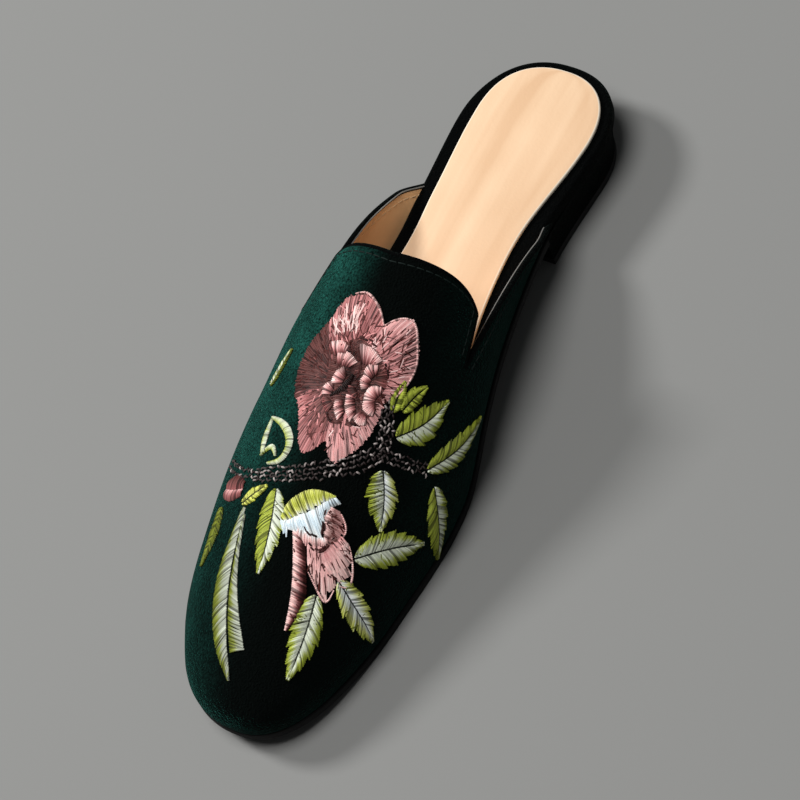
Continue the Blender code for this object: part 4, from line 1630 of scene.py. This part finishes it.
# The stem: paths on the flat pattern with the width of the band of seed stitches.
STEMS = (
    (
        ((13.4, 104), (16, 98), (17.6, 91), (14, 84.5), (7, 79.2), (0, 75.4), (-8, 72.6), (-19.6, 70.4)),
        4.4,
    ),
    (((17.8, 88.6), (25, 90.2), (34.4, 93.2)), 3.0),
    (((-19.6, 70.4), (-30, 71.6), (-39, 75)), 2.2),
)
STEM_STATIONS = 60
SEED_PITCH = 1.15
SEED_ROW = 0.9
SEED_LENGTH = 1.3
SEED_WIDTH = 0.6
SEED_STRAY = 0.22
SEED_TILT = 0.6
SEED_TILT_SPREAD = 0.35
SEED_HEIGHTS = 0.15 + 0.3 * ARCH
STEM_DARK = srgb(30, 19, 19)
STEM_GREY = srgb(182, 170, 166)
LIT_SEEDS = 0.25
LIT_RANGE = (0.6, 1.0)
DARK_RANGE = (0, 0.15)


def build_stem():
    """Rows of short seed stitches, tilted to and fro: dark, with a few that catch the light."""
    work = Embroidery()
    for path, width in STEMS:
        count = int(distances_along(rail(path, STEM_STATIONS))[-1] / SEED_PITCH)
        left, right = (rail(side, count) for side in band_rails(path, width, taper=0.2))
        for row, share in enumerate(np.linspace(0, 1, max(int(width / SEED_ROW), 2))):
            line = left + share * (right - left) + rng.normal(0, SEED_STRAY, left.shape)
            for i, way in enumerate(unit(np.gradient(line, axis=0))):
                tilt = SEED_TILT * (-1) ** (i + row) + rng.normal(0, SEED_TILT_SPREAD)
                turned = way * math.cos(tilt) + np.array([-way[1], way[0]]) * math.sin(tilt)
                reach = turned * SEED_LENGTH / 2
                light = rng.uniform(*(LIT_RANGE if rng.random() < LIT_SEEDS else DARK_RANGE))
                tone = even_tone(STEM_DARK + light * (STEM_GREY - STEM_DARK))
                work.stitch(line[i] - reach, line[i] + reach, SEED_HEIGHTS, tone, SEED_WIDTH)
    work.piece("embroidered_stem")


# Stage


CAMERA_AZIMUTH = math.radians(49.9)
CAMERA_ELEVATION = math.radians(58.2)
CAMERA_ROLL = math.radians(-25.85)
CAMERA_DISTANCE = 1.295
CAMERA_AIM = Vector((0.0086, -0.0082, 0.0244))
CAMERA_LENS = 187
CAMERA_CLIP = (0.05, 30)

FLOOR_HALF = 6
WORLD_COLOUR = (0.9, 0.93, 0.95, 1)
WORLD_STRENGTH = 0.075

# Round soft lights: angles in degrees as seen from the shoe, distance and width in metres, watts
Lamp = namedtuple("Lamp", "name azimuth elevation distance width power")
LAMPS = (
    Lamp("key", -86, 43, 2.2, 0.5, 34),
    Lamp("top", -40, 80, 2.4, 1.2, 37),
)


def towards(azimuth, elevation):
    """Unit vector from the shoe to a place; azimuth turns from the toe to the big toe's side."""
    along_floor = math.cos(elevation)
    return Vector(
        (math.sin(azimuth) * along_floor, -math.cos(azimuth) * along_floor, math.sin(elevation))
    )


def build_camera():
    data = bpy.data.cameras.new("camera")
    data.lens = CAMERA_LENS
    data.clip_start, data.clip_end = CAMERA_CLIP
    camera = place_in_scene("camera", data)
    back = towards(CAMERA_AZIMUTH, CAMERA_ELEVATION)
    turn = back.to_track_quat("Z", "Y").to_matrix() @ Matrix.Rotation(CAMERA_ROLL, 3, "Z")
    camera.matrix_world = Matrix.Translation(CAMERA_AIM + back * CAMERA_DISTANCE) @ turn.to_4x4()
    bpy.context.scene.camera = camera


def build_lamp(lamp):
    data = bpy.data.lights.new(lamp.name, "AREA")
    data.shape = "DISK"
    data.size = lamp.width
    data.energy = lamp.power
    light = place_in_scene(lamp.name, data)
    way = towards(math.radians(lamp.azimuth), math.radians(lamp.elevation))
    light.location = way * lamp.distance
    light.rotation_euler = way.to_track_quat("Z", "Y").to_euler()


def build_floor():
    bm = bmesh.new()
    bmesh.ops.create_grid(bm, x_segments=4, y_segments=4, size=FLOOR_HALF)
    mesh = to_mesh(bm, "studio_floor")
    mesh.materials.append(floor_finish())
    floor = place_in_scene("studio_floor", mesh)


def build_stage():
    build_floor()
    world = bpy.data.worlds.new("studio")
    bpy.context.scene.world = world
    world.use_nodes = True
    background = world.node_tree.nodes["Background"]
    background.inputs["Color"].default_value = WORLD_COLOUR
    background.inputs["Strength"].default_value = WORLD_STRENGTH
    for lamp in LAMPS:
        build_lamp(lamp)
    build_camera()
    bpy.context.scene.view_settings.view_transform = "Standard"


# The shoe


build_outsole()
build_insole_cover()
build_sock()
build_heel()
VAMP = build_upper()
build_leaves()
build_peony()
build_buds()
build_stem()
build_stage()
